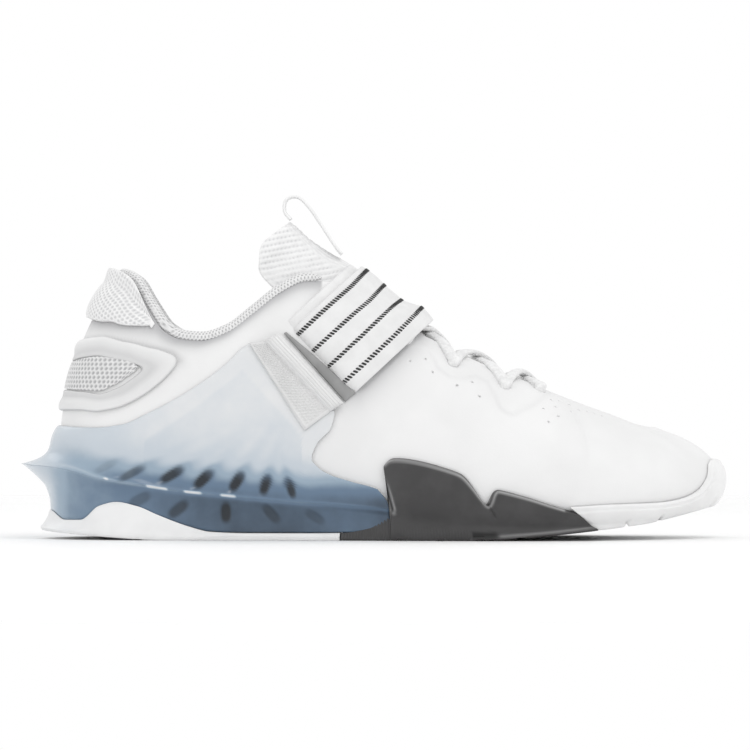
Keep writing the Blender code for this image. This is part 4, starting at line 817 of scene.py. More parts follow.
# The rest of it, inside the throat: share of the length, how far down the skin its wings reach, its
# inset, and how far forward and up its middle stands from the throat's edges, as shares of
# TONGUE_RISE.
TONGUE = (
    (0.365, 0.84, 1.00, 0.48, 0.90),
    (0.420, 0.86, 0.60, 0.30, 0.70),
    (0.480, 0.88, 0.35, 0.24, 0.66),
    (0.550, 0.89, 0.30, 0.11, 0.32),
    (0.620, 0.88, 0.25, 0.05, 0.22),
    (0.690, 0.87, 0.25, 0.03, 0.14),
    (0.745, 0.87, 0.30, 0.00, 0.04),
    (0.785, 0.88, 0.50, 0.00, -0.06),
    (0.825, 0.90, 0.60, 0.00, -0.04),
)
TONGUE_SHARES = (1.0, 0.84, 0.66, 0.44, 0.22)
TONGUE_INSET = 1.6 * MM


def throat_middle(at):
    """Where the middle of the collar and throat lies across the shoe."""
    return float(section("centre", at) + topline("shift", at)) * BALL_WIDTH


def tongue_rows():
    """The tongue's outer face, row by row from its top, lateral edge to medial edge."""
    rows = []
    for middle_at, middle_height, wing_at, wing_height, half_width in TONGUE_TOP:
        y = throat_middle(0.36)
        middle = np.array([along(middle_at), y, middle_height * COLLAR_HEIGHT])
        row = []
        for share in [-s for s in TONGUE_SHARES] + [0] + list(TONGUE_SHARES[::-1]):
            wing = np.array([along(wing_at), y, wing_height * COLLAR_HEIGHT])
            point = blend(middle, wing, abs(share) ** 2.0)
            point[1] = y + math.sin(share * math.pi / 2) * half_width * BALL_WIDTH
            row.append(point)
        rows.append(row)
    for at, wing, inset, forward, up in TONGUE:
        offset = -(UPPER_WALL + GAP + inset * TONGUE_INSET)
        edges = {
            side: [skin(side * way_of(at), blend(1.0, wing, s), offset) for s in (1.0, 0.5, 0.0)]
            for side in (-1, 1)
        }
        if at > 0.76:
            low, high = edges[-1][0], edges[1][0]
            rise = (edges[-1][-1][2] + edges[1][-1][2] - low[2] - high[2]) / 2
            shares = np.array([0, 0.06, 0.13, 0.24, 0.37, 0.5, 0.63, 0.76, 0.87, 0.94, 1])
            bow = (1 - (2 * shares - 1) ** 2) * rise
            rows.append([blend(low, high, s) + np.array([0, 0, b]) for s, b in zip(shares, bow)])
            continue
        lift = np.array([forward, 0, up]) * TONGUE_RISE
        arch = []
        for share in (-0.66, -0.33, 0, 0.33, 0.66):
            low = blend(edges[-1][-1], edges[1][-1], 0.5 + 0.5 * share)
            arch.append(low + lift * (1 - share * share) ** 1.4)
        rows.append(edges[-1] + arch + edges[1][::-1])
    return np.array(rows)


# The strap seen from the side: the middle of its outer end by the keeper, its run, and the point
# its section is seen from.
STRAP_PLACE = (0.3900, 0.6300)
STRAP_RUN = (0.7317, 0.6817)
STRAP_CENTRE = 2.0 * MM

# The keeper's corners seen from the side, as shares of the length and of COLLAR_HEIGHT: the far
# edge of its base, the base's edge by the bar, and the bar's edge by the slot.
KEEPER_TOP = ((0.2900, 0.7160), (0.3140, 0.7230), (0.3370, 0.7500))
KEEPER_BOTTOM = ((0.3730, 0.4000), (0.4130, 0.4700), (0.4320, 0.4980))
# Height of the keeper's section: share of the way across, share of KEEPER_BAR_THICKNESS.
KEEPER_SECTION = (
    (0.00, 0.12),
    (0.04, 0.40),
    (0.28, 0.40),
    (0.52, 0.40),
    (0.56, 0.80),
    (0.66, 1.20),
    (0.80, 1.30),
    (0.92, 1.10),
    (1.00, 0.55),
)

# The pull loop seen from the side: shares of the length and of COLLAR_HEIGHT.
PULL_LOOP = (
    (0.3500, 1.1800),
    (0.3410, 1.2100),
    (0.3420, 1.2480),
    (0.3510, 1.2640),
    (0.3640, 1.2600),
    (0.3790, 1.2230),
    (0.3980, 1.1560),
    (0.4190, 1.0780),
    (0.4275, 1.0520),
)
COLLAR_ROLL_END = 0.380
OVERLAY_GAP = GAP + 0.2 * MM


# Finishes. Every one has its own colour variation, roughness variation and relief.


class Finish:
    """A material under construction."""

    def __init__(self, name, roughness, **sockets):
        self.material = bpy.data.materials.new(name)
        self.material.use_nodes = True
        self.nodes = self.material.node_tree.nodes
        self.links = self.material.node_tree.links
        self.shader = self.nodes["Principled BSDF"]
        self.shader.inputs["Roughness"].default_value = roughness
        for title, value in sockets.items():
            self.shader.inputs[title.replace("_", " ")].default_value = value
        self.place = self.nodes.new("ShaderNodeTexCoord").outputs["Object"]
        self.normal = None

    def node(self, kind, **values):
        node = self.nodes.new("ShaderNode" + kind)
        for title, value in values.items():
            node.inputs[title.replace("_", " ")].default_value = value
        return node

    def noise(self, scale, detail=3.0):
        node = self.node("TexNoise", Scale=scale, Detail=detail, Roughness=0.55)
        self.links.new(self.place, node.inputs["Vector"])
        return node.outputs["Fac"]

    def cells(self, scale):
        node = self.node("TexVoronoi", Scale=scale)
        self.links.new(self.place, node.inputs["Vector"])
        return node.outputs["Distance"]

    def attribute(self, title):
        node = self.node("Attribute")
        node.attribute_name = title
        return node.outputs["Fac"]

    def math(self, operation, a, b=0.5):
        node = self.node("Math")
        node.operation = operation
        for socket, value in zip(node.inputs, (a, b)):
            if isinstance(value, (int, float)):
                socket.default_value = value
            else:
                self.links.new(value, socket)
        return node.outputs[0]

    def threads(self, along, across, fineness):
        """A weave from two ways over the cloth, read from its attributes in millimetres."""
        warp = self.math("SINE", self.math("MULTIPLY", self.attribute(along), fineness))
        weft = self.math("SINE", self.math("MULTIPLY", self.attribute(across), fineness))
        return self.math("MULTIPLY", warp, weft)

    def ramp(self, value, stops):
        node = self.node("ValToRGB")
        node.color_ramp.interpolation = "EASE"
        while len(node.color_ramp.elements) < len(stops):
            node.color_ramp.elements.new(0.5)
        for element, (spot, colour) in zip(node.color_ramp.elements, stops):
            element.position = spot
            element.color = (*colour, 1)
        self.links.new(value, node.inputs["Fac"])
        return node.outputs["Color"]

    def mix(self, share, a, b):
        node = self.node("Mix")
        node.data_type = "RGBA"
        self.links.new(share, node.inputs["Factor"])
        for title, value in ((6, a), (7, b)):
            if isinstance(value, tuple):
                node.inputs[title].default_value = (*value, 1)
            else:
                self.links.new(value, node.inputs[title])
        return node.outputs[2]

    def colour(self, value):
        self.links.new(value, self.shader.inputs["Base Color"])
        return self

    def between(self, scale, dark, light, low=0.35, high=0.65):
        """Colour that drifts softly between two."""
        return self.colour(self.ramp(self.noise(scale), ((low, dark), (high, light))))

    def rough(self, scale, low, high):
        node = self.node("MapRange", To_Min=low, To_Max=high)
        self.links.new(self.noise(scale, 2.0), node.inputs["Value"])
        self.links.new(node.outputs["Result"], self.shader.inputs["Roughness"])
        return self

    def relief(self, height, strength, distance):
        """Adds a layer of relief to those before it."""
        node = self.node("Bump", Strength=strength, Distance=distance)
        self.links.new(height, node.inputs["Height"])
        if self.normal:
            self.links.new(self.normal, node.inputs["Normal"])
        self.normal = node.outputs["Normal"]
        self.links.new(self.normal, self.shader.inputs["Normal"])
        return self


def grey(level):
    return (level,) * 3


def synthetic(name, light=0.84):
    """Smooth coated synthetic leather with a fine pebbled grain."""
    f = Finish(name, 0.5)
    coat = f.ramp(f.noise(26), ((0.35, grey(light - 0.035)), (0.65, grey(light))))
    # Painted shade: where the 'shade' attribute is set, the colour is darkened towards grey.
    f.colour(f.mix(f.attribute("shade"), coat, (0.40, 0.40, 0.41)))
    f.rough(60, 0.42, 0.58)
    f.relief(f.cells(1500), 0.16, 0.12 * MM)
    return f.relief(f.noise(420, 4), 0.12, 0.2 * MM).material


def knit(name, light, dark):
    """A white knitted mesh, with painted shade darkening its holes."""
    f = Finish(name, 0.8, Sheen_Weight=0.15)
    cloth = f.ramp(f.noise(300, 3), ((0.3, grey(light - 0.06)), (0.7, grey(light))))
    f.colour(f.mix(f.attribute("pits"), cloth, (dark, dark, dark * 1.02)))
    f.rough(150, 0.7, 0.9)
    return f.relief(f.noise(2400, 3), 0.35, 0.15 * MM).material


def webbing(name, light=0.83, weave=0.4):
    """Woven tape: fine crossing threads."""
    f = Finish(name, 0.75, Sheen_Weight=0.1)
    f.between(90, grey(light - 0.05), grey(light))
    f.rough(200, 0.65, 0.85)
    f.relief(f.threads("along", "across", 9.0), weave, 0.1 * MM)
    return f.relief(f.noise(1800, 3), 0.75 * weave, 0.12 * MM).material


def white_rubber(name, light=0.86):
    f = Finish(name, 0.3, Coat_Weight=0.35, Coat_Roughness=0.18)
    f.between(45, grey(light - 0.06), grey(light))
    f.rough(80, 0.26, 0.42)
    return f.relief(f.noise(700, 3), 0.06, 0.15 * MM).material


def dark_rubber(name):
    f = Finish(name, 0.45, Coat_Weight=0.12, Coat_Roughness=0.3)
    body = f.ramp(f.noise(70), ((0.35, (0.036, 0.035, 0.036)), (0.65, (0.048, 0.047, 0.048))))
    # Painted highlight: the 'edge' attribute lightens the rim. Painted shade: the 'step' attribute darkens
    # the recessed step nearly to black.
    rim_with_painted_highlight = f.mix(f.attribute("edge"), body, grey(0.34))
    f.colour(f.mix(f.attribute("step"), rim_with_painted_highlight, grey(0.004)))
    f.rough(120, 0.38, 0.55)
    return f.relief(f.noise(1100, 4), 0.18, 0.12 * MM).material


def clear_plastic(name):
    """Frosted ice-blue plastic: whitish where it is thin, steel blue where it is deep."""
    f = Finish(
        name, 0.32, Coat_Weight=0.45, Coat_Roughness=0.07, Transmission_Weight=0.10, IOR=1.45,
    )
    cloud = f.math("MULTIPLY", f.math("SUBTRACT", f.noise(70, 3), 0.5), 0.16)
    # The 'tone' attribute also carries painted highlights along the ridge.
    tone = f.math("ADD", f.attribute("tone"), cloud)
    depth = f.ramp(tone, WEDGE_COLOURS)
    # Painted shade: the windows between the fins are darkened almost to black.
    f.colour(f.mix(f.attribute("window"), depth, (0.002, 0.008, 0.016)))
    f.rough(50, 0.26, 0.38)
    return f.relief(f.noise(260, 2), 0.05, 0.3 * MM).material


# The wedge's colour by how deep the plastic is, from its thin film to its solid foot.
WEDGE_COLOURS = (
    (0.00, (0.84, 0.845, 0.85)),
    (0.30, (0.60, 0.66, 0.72)),
    (0.55, (0.33, 0.43, 0.53)),
    (0.78, (0.125, 0.200, 0.300)),
    (1.00, (0.038, 0.066, 0.104)),
)


def textile(name, light):
    f = Finish(name, 0.9, Sheen_Weight=0.2)
    f.between(140, grey(light - 0.08), grey(light))
    f.rough(260, 0.8, 0.95)
    f.relief(f.cells(1300), 0.35, 0.2 * MM)
    return f.relief(f.noise(900, 4), 0.25, 0.15 * MM).material


def thread(name, light, dark):
    f = Finish(name, 0.7, Sheen_Weight=0.1)
    f.between(500, grey(dark), grey(light))
    f.rough(300, 0.55, 0.8)
    return f.relief(f.noise(3000, 3), 0.4, 0.1 * MM).material


LEATHER = synthetic("white_synthetic_leather")
FRAME_PLASTIC = synthetic("white_moulded_film", 0.80)
COLLAR_KNIT = knit("collar_knit", 0.86, 0.36)
PAD_KNIT = knit("heel_pad_knit", 0.91, 0.52)
WINDOW_KNIT = knit("window_mesh", 0.80, 0.42)
TONGUE_KNIT = knit("tongue_knit", 0.90, 0.54)
TAPE = webbing("white_tape")
UNDER_TAPE = webbing("white_under_tape", 0.86)
# Painted shade: the strap's end in the keeper's slot is a dark grey tape.
SLOT_TAPE = webbing("shaded_slot_tape", 0.34)
LOOP_TAPE = webbing("pull_loop_tape", 0.90, 0.10)
LACE_CORD = thread("white_lace_cord", 0.86, 0.76)
BLACK_THREAD = thread("black_thread", 0.030, 0.012)
WHITE_RUBBER = white_rubber("glossy_white_rubber")
# A darker white rubber, for the keeper.
KEEPER_RUBBER = white_rubber("darker_white_rubber", 0.74)
DARK_RUBBER = dark_rubber("dark_grey_moulded_rubber")
PLASTIC = clear_plastic("frosted_ice_blue_plastic")
INSOLE_CLOTH = textile("insole_cloth", 0.62)
LINING_CLOTH = textile("lining_cloth", 0.74)


# The upper and its lining.

# The eyestay's scalloped lower edge, seen from the side.
SCALLOP = (
    (4.0, 78.5), (12.9, 80.8), (18.5, 81.3), (23.6, 79.6), (26.7, 73.1), (32.2, 69.2), (37.8, 68.8),
    (43.0, 69.7), (47.7, 67.1), (50.7, 61.5), (53.3, 55.8), (58.0, 53.3), (66.7, 57.2), (75.2, 63.2),
)
# Pinholes in the side and in the toe, seen from the side.
SIDE_PINS = ((15.0, 76.1), (21.5, 77.0), (24.5, 71.4), (34.8, 65.8), (41.3, 67.1), (44.3, 61.1))
TOE_PINS = (
    (71.4, 55.9), (73.5, 50.3), (74.8, 59.6), (76.5, 56.6), (77.8, 52.6), (78.2, 59.2), (83.0, 57.4),
    (83.4, 54.6), (86.9, 55.2), (90.3, 54.6), (93.7, 53.8), (96.8, 52.6),
)
PIN_RADIUS = 0.50 * MM
PIN_DEPTH = 1.4 * MM
PIN_HIGHEST = 0.965
EYELET_DEPTH = 6 * MM
STAY_RISE = 0.45 * MM


def upper_relief(v, place):
    """How far each place of the upper stands off its smooth skin."""
    x, z = side_mm(place)
    scallop = evened(flowing(SCALLOP, 120), 120)
    edge = np.interp(x, scallop[:, 0], scallop[:, 1])
    distance = line_distance(x, z, scallop) * np.where(z > edge, 1, -1)
    ends = soft_step(x - 4, 8) * (1 - soft_step(x - 66, 8))
    out = STAY_RISE * soft_step(distance + 0.5, 1.3) * ends
    # A pressed groove runs just inside the stay's edge.
    out -= 0.12 * MM * hump(distance - 2.4, 0.45) * ends
    # The bound edge of the collar and throat.
    out += 0.35 * MM * soft_step(v - 0.955, 0.03)
    # The heel's side is stretched over the stiff counter, with a soft hollow in front of it.
    out -= 0.5 * MM * hump(x + 78, 14) * hump(z - 74, 9)
    # Soft folds where the vamp bends, and the dip that the strap pulls in.
    fold = np.sin((x - 0.35 * z) / 3.4)
    out += 0.10 * MM * fold * hump(x - 52, 16) * hump(z - 46, 16)
    out -= 0.6 * MM * hump(x - 2, 9) * hump(z - 62, 12)
    return out


# Edges that throw a soft shade on the upper below them, seen from the side: how dark, how far in
# millimetres it reaches, and the edge.
SHADES = (
    (0.75, 3.6, ((-128.0, 93.4), (-118.3, 92.7), (-109.7, 91.6), (-101.1, 90.7), (-90.3, 89.0))),
    (0.72, 5.4, ((20.6, 91.0), (6.0, 77.0), (-8.0, 63.0))),
    (0.42, 2.0, ((-127.0, 84.0), (-119.8, 85.6), (-101.4, 83.4), (-86.0, 80.0), (-83.0, 76.2))),
    (0.13, 1.0, SCALLOP),
)


def contact_shade(u, v, place):
    """How much each place of the upper is shaded by what stands over it."""
    x, z = side_mm(place)
    shade = 0.95 * hump((1 - v) * 75, 3.9, 1.5) * (np.abs(u) < way_of(COLLAR_ROLL_END))
    for depth, reach, line in SHADES:
        distance = line_distance(x, z, line)
        shade = np.maximum(shade, depth * hump(distance, reach, 1.3))
    return shade


def make_upper():
    columns = 520
    rows = 84
    ways = np.linspace(-1, 1, columns + 1)[:-1]
    end = float(way_of(THROAT_END))
    for side in (-1, 1):
        ways[np.abs(ways - side * end).argmin()] = side * end
    v = 1 - (1 - np.linspace(0, 1, rows)) ** 1.1
    u_grid, v_grid = np.meshgrid(ways, v, indexing="ij")
    smooth_place = skin_raw(u_grid, v_grid)
    normal = skin_normal(u_grid, v_grid)
    outer = smooth_place + normal * upper_relief(v_grid, smooth_place)[..., None]
    inner = smooth_place - normal * UPPER_WALL
    on_ridge = np.abs(ways) >= end - 1e-5
    mirror = np.array([np.abs(ways + u).argmin() if u > -1 else 0 for u in ways])
    for face in (inner, outer):
        top = face[:, -1].copy()
        face[on_ridge, -1] = ((top + top[mirror]) / 2)[on_ridge]
    count = len(ways) * rows
    points = np.concatenate([outer.reshape(-1, 3), inner.reshape(-1, 3)])
    faces = [grid_quads(len(ways), rows, 0, True), grid_quads(len(ways), rows, count, True, True)]
    i = np.arange(len(ways))
    k = (i + 1) % len(ways)
    a, b = i * rows, k * rows
    faces.append(np.stack([a, a + count, b + count, b], -1))
    open_top = ~(on_ridge[i] & on_ridge[k])
    a, b = (a + rows - 1)[open_top], (b + rows - 1)[open_top]
    faces.append(np.stack([a, b, b + count, a + count], -1))
    shade = contact_shade(u_grid, v_grid, outer)
    upper = made(
        "upper_shell", points, np.concatenate(faces), LEATHER, ("upper",),
        attributes={"shade": np.stack([shade, 0 * shade])},
    )
    peg_points = []
    peg_faces = []

    def drill(u, v, depth, radius, sides):
        more, rings = peg(skin(u, v, 4 * MM), skin(u, v, -depth), radius, sides, len(peg_points))
        peg_points.extend(more)
        peg_faces.extend(rings)

    for side in (-1, 1):
        for at, v_hole in EYELETS:
            drill(side * way_of(at), v_hole, EYELET_DEPTH, EYELET_RADIUS, 20)
        for x, z in SIDE_PINS + TOE_PINS:
            u, v_pin = u_v_of(x * MM, z * MM)
            drill(side * u, min(v_pin, PIN_HIGHEST), PIN_DEPTH, PIN_RADIUS, 8)
    cut(upper, peg_points, peg_faces)
    return upper


# Where the lining ends, as a share of the length; its gap from the upper and its inner face, and
# the sock's gap.
LINING_END = 0.315
LINING_GAP = 0.12 * MM
LINING_DEPTH = 0.9 * MM
INSOLE_GAP = 1.6 * MM


def make_lining():
    """The cloth inside the upper, seen through the collar."""
    end = float(way_of(LINING_END))
    ways = np.linspace(-end, end, 150)
    v = np.linspace(0.10, 0.965, 26)
    u_grid, v_grid = np.meshgrid(ways, v, indexing="ij")
    outer = skin(u_grid, v_grid, -(UPPER_WALL + LINING_GAP))
    inner = skin(u_grid, v_grid, -(UPPER_WALL + LINING_DEPTH))
    slab("collar_lining", outer, inner, LINING_CLOTH)


def make_insole():
    """The removable sock: a soft slab that is cupped at its rim, with a faint foot bed."""
    inset = -(UPPER_WALL + INSOLE_GAP)
    ways = np.linspace(0, 1, 90)
    shares = np.linspace(0, 1, 16)

    def face(lift, cupped):
        def make(way, side):
            at = float(at_of(way))
            z = float(feather_height(at)) + lift
            edge = shell_point(side * way, z, inset)
            middle = spoke(at, z)
            points = []
            for share in shares:
                point = blend(edge, middle, share)
                point[2] += cupped * (0.9 * MM * (1 - share) ** 3 - 0.5 * MM * math.sin(share * math.pi))
                points.append(point)
            return points
        return make

    slab(
        "insole_sock", whole(ways, face(0.4 * MM, 0)), whole(ways, face(INSOLE_THICKNESS, 1)),
        INSOLE_CLOTH, ("insole",), open_ends=(0, len(ways) - 1),
    )


# The wedge and the rubber soles.

# The film's front edge, seen from the side from its top down.
FILM_FRONT = (
    (84.0, -49.5), (74.0, -39.5), (63.6, -30.0), (57.5, -21.5), (54.2, -18.1), (47.7, -19.2),
    (41.3, -24.6), (34.6, -26.7), (31.4, -24.3), (28.0, -18.9), (25.0, -9.5), (21.5, 2.0),
)
FILM_PEAK = 0.287

# Windows between the fins, seen from the side: place and half sizes in millimetres, lean from
# upright in degrees, and how deep they are and how dark their painted shade is.
PANES = (
    (-114.0, 31.4, 5.4, 1.6, 64, 0.20),
    (-102.8, 28.6, 6.2, 1.7, 62, 0.62),
    (-86.0, 27.9, 5.9, 2.1, 59, 0.95),
    (-72.7, 26.0, 5.3, 2.3, 46, 1.00),
    (-58.5, 25.0, 4.9, 2.2, 33, 1.00),
    (-46.4, 23.6, 4.4, 2.1, 18, 1.00),
    (-35.7, 22.2, 4.4, 1.7, -16, 0.95),
    (-99.8, 17.2, 5.2, 2.4, 62, 0.45),
    (-83.4, 13.2, 5.0, 2.3, 52, 0.75),
    (-63.2, 11.8, 4.3, 2.2, 0, 1.00),
    (-43.9, 11.2, 4.8, 2.2, -42, 0.62),
    (-25.4, 10.0, 4.6, 2.0, -58, 0.38),
)
# Windows that are higher than this, over the ridge, fade upwards.
UPPER_PANES = 20
# How blue the wedge looks at its ridge and under it, and how quickly that fades upwards.
TINT_COLUMNS = ("x", "ridge", "under", "fade")
TINTS = (
    (-152.0, 0.30, 0.26, 8.0),
    (-140.0, 0.40, 0.36, 8.0),
    (-130.0, 0.50, 0.66, 8.0),
    (-114.0, 0.68, 0.72, 8.5),
    (-97.0, 0.80, 0.84, 9.5),
    (-75.0, 0.84, 0.92, 10.5),
    (-50.0, 0.86, 0.95, 11.0),
    (-30.0, 0.86, 0.94, 12.0),
    (-12.0, 0.90, 0.88, 13.0),
    (6.0, 0.98, 0.90, 14.0),
)
# Where painted highlights make the ridge's rounded edge shine white, by x in millimetres.
GLINTS = ((-115.5, -112.5), (-97.5, -87.5), (-81.5, -73.0), (-66.0, -58.5))
FACET = ((-98.0, 43.0), (-76.1, 57.5), (-56.3, 73.1), (-31.0, 45.6))


def tint(name, x):
    return table_column(TINTS, TINT_COLUMNS, name, x, np.interp)


def pane_masks(x, z):
    """How much of a window, and of the soft shade above it, lies behind each place."""
    window = np.zeros(np.shape(x))
    shade = np.zeros(np.shape(x))
    for px, pz, length, width, lean, depth in PANES:
        turn = math.radians(lean)
        up = (x - px) * math.sin(turn) + (z - pz) * math.cos(turn)
        side = (x - px) * math.cos(turn) - (z - pz) * math.sin(turn)
        radius = (np.abs(up / length) ** 2.6 + np.abs(side / width) ** 2.6) ** (1 / 2.6)
        deep = depth * (1 - soft_step(radius - 0.66, 0.62))
        if pz > UPPER_PANES:
            deep = deep * (1 - 0.55 * soft_step(up / length - 0.05, 1.2))
            reach = 4 + 0.15 * abs(lean)
            above = soft_step(up + 2, 5) * hump(np.maximum(up - 4, 0), reach, 1)
            shade = np.maximum(shade, depth * above * hump(side, width * 1.15))
        window = np.maximum(window, deep)
    return window, shade


def ridge_height(x):
    """The ridge's height in millimetres at an x in millimetres."""
    at = x * MM / UPPER_LENGTH + ORIGIN_SHARE
    return wedge("ridge_height", at) / MM


def wedge_look(points):
    """The wedge's tone and windows at its points."""
    x, z = side_mm(points)
    ridge = ridge_height(x)
    over = np.maximum(z - ridge, 0)
    film = 0.06 + 0.14 * hump(over, 18, 1) + 0.15 * soft_step(-68 - x, 60)
    tone = film + (tint("ridge", x) - film) * hump(over, tint("fade", x), 2.2)
    under = soft_step(ridge - z, 3.0)
    tone = blend(tone, tint("under", x), under)
    # A painted highlight lies along the ridge itself as a pale line, white in places.
    tone -= 0.14 * hump(z - ridge + 0.2, 0.8) * soft_step(x + 140, 20)
    for start, end in GLINTS:
        inside_x = soft_step(x - start, 1.5) * (1 - soft_step(x - end + 1.5, 1.5))
        tone -= 0.95 * inside_x * hump(z - ridge, 0.42)
    window, shade = pane_masks(x, z)
    tone += 0.24 * shade * (over > 0)
    low, high = np.array(FACET[:3]), np.array(FACET[2:])
    left = np.interp(x, low[:, 0], low[:, 1])
    right = np.interp(x, high[:, 0], high[:, 1])
    within = soft_step(np.minimum(left, right) - z, 2.2) * (x > FACET[0][0]) * (x < FACET[3][0])
    tone += 0.055 * within * soft_step(over - 4, 14)
    return np.clip(tone, 0.02, 1.0), window


def make_wedge():
    top_ways, top_heights = edge_heights(WEDGE_TOP)
    side_count = 44
    foot_count = 20
    front_z = np.array([row[0] for row in FILM_FRONT])[::-1] * MM
    front_at = np.array([row[1] for row in FILM_FRONT])[::-1] * MM / UPPER_LENGTH + ORIGIN_SHARE

    def film_front(z):
        rise = np.clip((z - FILM_FOOT) / (front_z[0] - FILM_FOOT), 0, 1)
        foot = blend(flange_back(z) - FILM_JOINT, float(front_at[0]), rise**2)
        return np.where(z < front_z[0], foot, smooth(z, front_z, front_at))

    def leaning(share):
        return lambda z: FILM_PEAK + (film_front(z) - FILM_PEAK) * share

    def top_height(at):
        return float(smooth(way_of(min(at, FILM_PEAK)), top_ways, top_heights))

    share = 1 - (1 - np.linspace(0, 1, side_count)) ** 1.35
    down = np.linspace(0, 1, foot_count + 1)[1:] ** 1.25

    def heights(row):
        """The ridge's and foot's heights, and all heights from the film's top to its foot."""
        at = row(WEDGE_LEVEL)
        top = top_height(at)
        ridge = min(float(wedge("ridge_height", at)), top - 1 * MM)
        foot = float(wedge("foot_height", at))
        return ridge, foot, np.concatenate([blend(top, ridge, share), blend(ridge, foot, down)])

    def inner(row, side):
        bottom = floor_height(row(WEDGE_LEVEL))
        z = heights(row)[2]
        z = np.maximum(z, bottom + 0.06 * MM * np.arange(len(z))[::-1])
        points = list(shell_points(side * way_of(row(z)), z, LIP_GAP))
        middle = spoke(row(bottom), floor_height(np.clip(row(bottom), SPOKE_ENDS[0], 1)))
        return points + [blend(points[-1], middle, s) for s in (0.33, 0.66)] + [middle]

    def outer(row, side):
        at = row(WEDGE_LEVEL)
        ridge, foot, z = heights(row)
        waist_out = float(wedge("waist", at))
        ridge_out = float(wedge("ridge", at))
        foot_out = float(wedge("foot", at))
        high_out = GAP + WEDGE_LIP + (waist_out - WEDGE_LIP) * (1 - (1 - share) ** 4)
        high_out += (ridge_out - waist_out) * share**6
        high_out -= 0.6 * WEDGE_LIP * (1 - soft_step(share, 0.03))
        low_out = foot_out + (ridge_out - foot_out) * (1 - down) ** 2.2
        out = np.concatenate([high_out, low_out])
        ways = side * way_of(row(z))
        window, shade = pane_masks(*side_mm(shell_points(ways, z, 0)))
        out -= 0.75 * MM * window + 0.28 * MM * shade * soft_step(z - ridge + 1 * MM, 2 * MM)
        points = list(shell_points(ways, z, np.maximum(out, 0.8 * MM)))
        _, ledge, _, middle = ledge_points(float(row(foot)), way_of(row(foot)), side, GAP)
        return points + [ledge, blend(ledge, middle, 0.5), middle]

    ways = np.linspace(0, way_of(FILM_PEAK), 165)
    rows = [plain_row(w) for w in ways] + [leaning(s) for s in np.linspace(0, 1, 84)[1:]]
    inner_grid, outer_grid = whole(rows, inner), whole(rows, outer)
    tone, window = wedge_look(outer_grid)
    return slab(
        "wedge_plastic", inner_grid, outer_grid, PLASTIC, ("heel_wedge",),
        open_ends=(0,), attributes={"tone": tone, "window": window},
    )


def groove_depth(at, grooves):
    """How deep the tread is cut at a share of the length."""
    edge = 0.3 * MM
    ways = [(at - start) * UPPER_LENGTH for start in grooves]
    return GROOVE_DEPTH if any(-edge < x < GROOVE_WIDTH + edge for x in ways) else 0.0


def make_heel_sole():
    gap = -GAP
    count = 14

    def inner(row, side):
        at = row(0)
        edge, ledge, _, middle = ledge_points(at, way_of(at), side, gap)
        shares = np.linspace(0, 1, count - 1) ** 2 * 0.97 + 0.03
        return [blend(edge, ledge, s) for s in shares] + [blend(ledge, middle, 0.5), middle]

    def outer(row, side):
        at = row(0)
        way = side * way_of(at)
        foot = float(wedge("foot_height", at)) + gap
        out = float(wedge("foot", at))
        base = float(wedge("base", at))
        low = ground(at)
        cut_in = groove_depth(at, HEEL_GROOVES)
        wall = min(low + 1.4 * MM, blend(low, foot, 0.6))
        share = np.linspace(0, 1, count - 5)
        z = np.concatenate([[foot - 0.2 * MM], blend(foot - 0.55 * MM, wall, share)])
        sweep = blend(out + 0.42 * MM, base, share - 0.16 * np.sin(math.pi * share))
        points = list(shell_points(way, z, np.concatenate([[out + 0.15 * MM], sweep])))
        floor = low + cut_in
        for share, inset in ((0.5, 0.25), (0.9, 0.7), (1.0, 1.2)):
            z = max(blend(wall, low, share), floor if share == 1.0 else 0)
            points.append(shell_point(way, z, base - inset * MM))
        middle = spoke(at, ground(np.clip(at, SPOKE_ENDS[0], 1)) + cut_in)
        return points + [blend(points[-1], middle, 0.5), middle]

    end = way_of(HEEL_OUTSOLE_END)
    rows = [plain_row(w) for w in np.linspace(0, end, 190)]
    slab(
        "heel_sole", whole(rows, inner), whole(rows, outer), WHITE_RUBBER,
        ("outsole_heel",), open_ends=(0,), sharp=50,
    )


# The flange's outline on the outer side, from its rear foot over its top to the toe's joint.
FLANGE_EDGE = (
    (7.5, 13.0), (5.2, 21.0), (3.0, 27.0), (2.8, 31.0), (4.4, 33.6), (7.6, 34.9), (14.0, 34.6),
    (22.0, 33.0), (31.5, 30.2), (37.0, 27.8), (41.5, 23.0), (45.5, 17.8), (47.6, 15.4), (48.6, 16.4),
    (49.9, 20.0), (51.6, 21.6), (55.0, 21.2), (65.0, 18.5), (76.0, 15.0), (84.5, 12.8), (94.0, 12.0),
)
FLANGE_CREASE = ((47.8, 15.2), (50.6, 10.4))


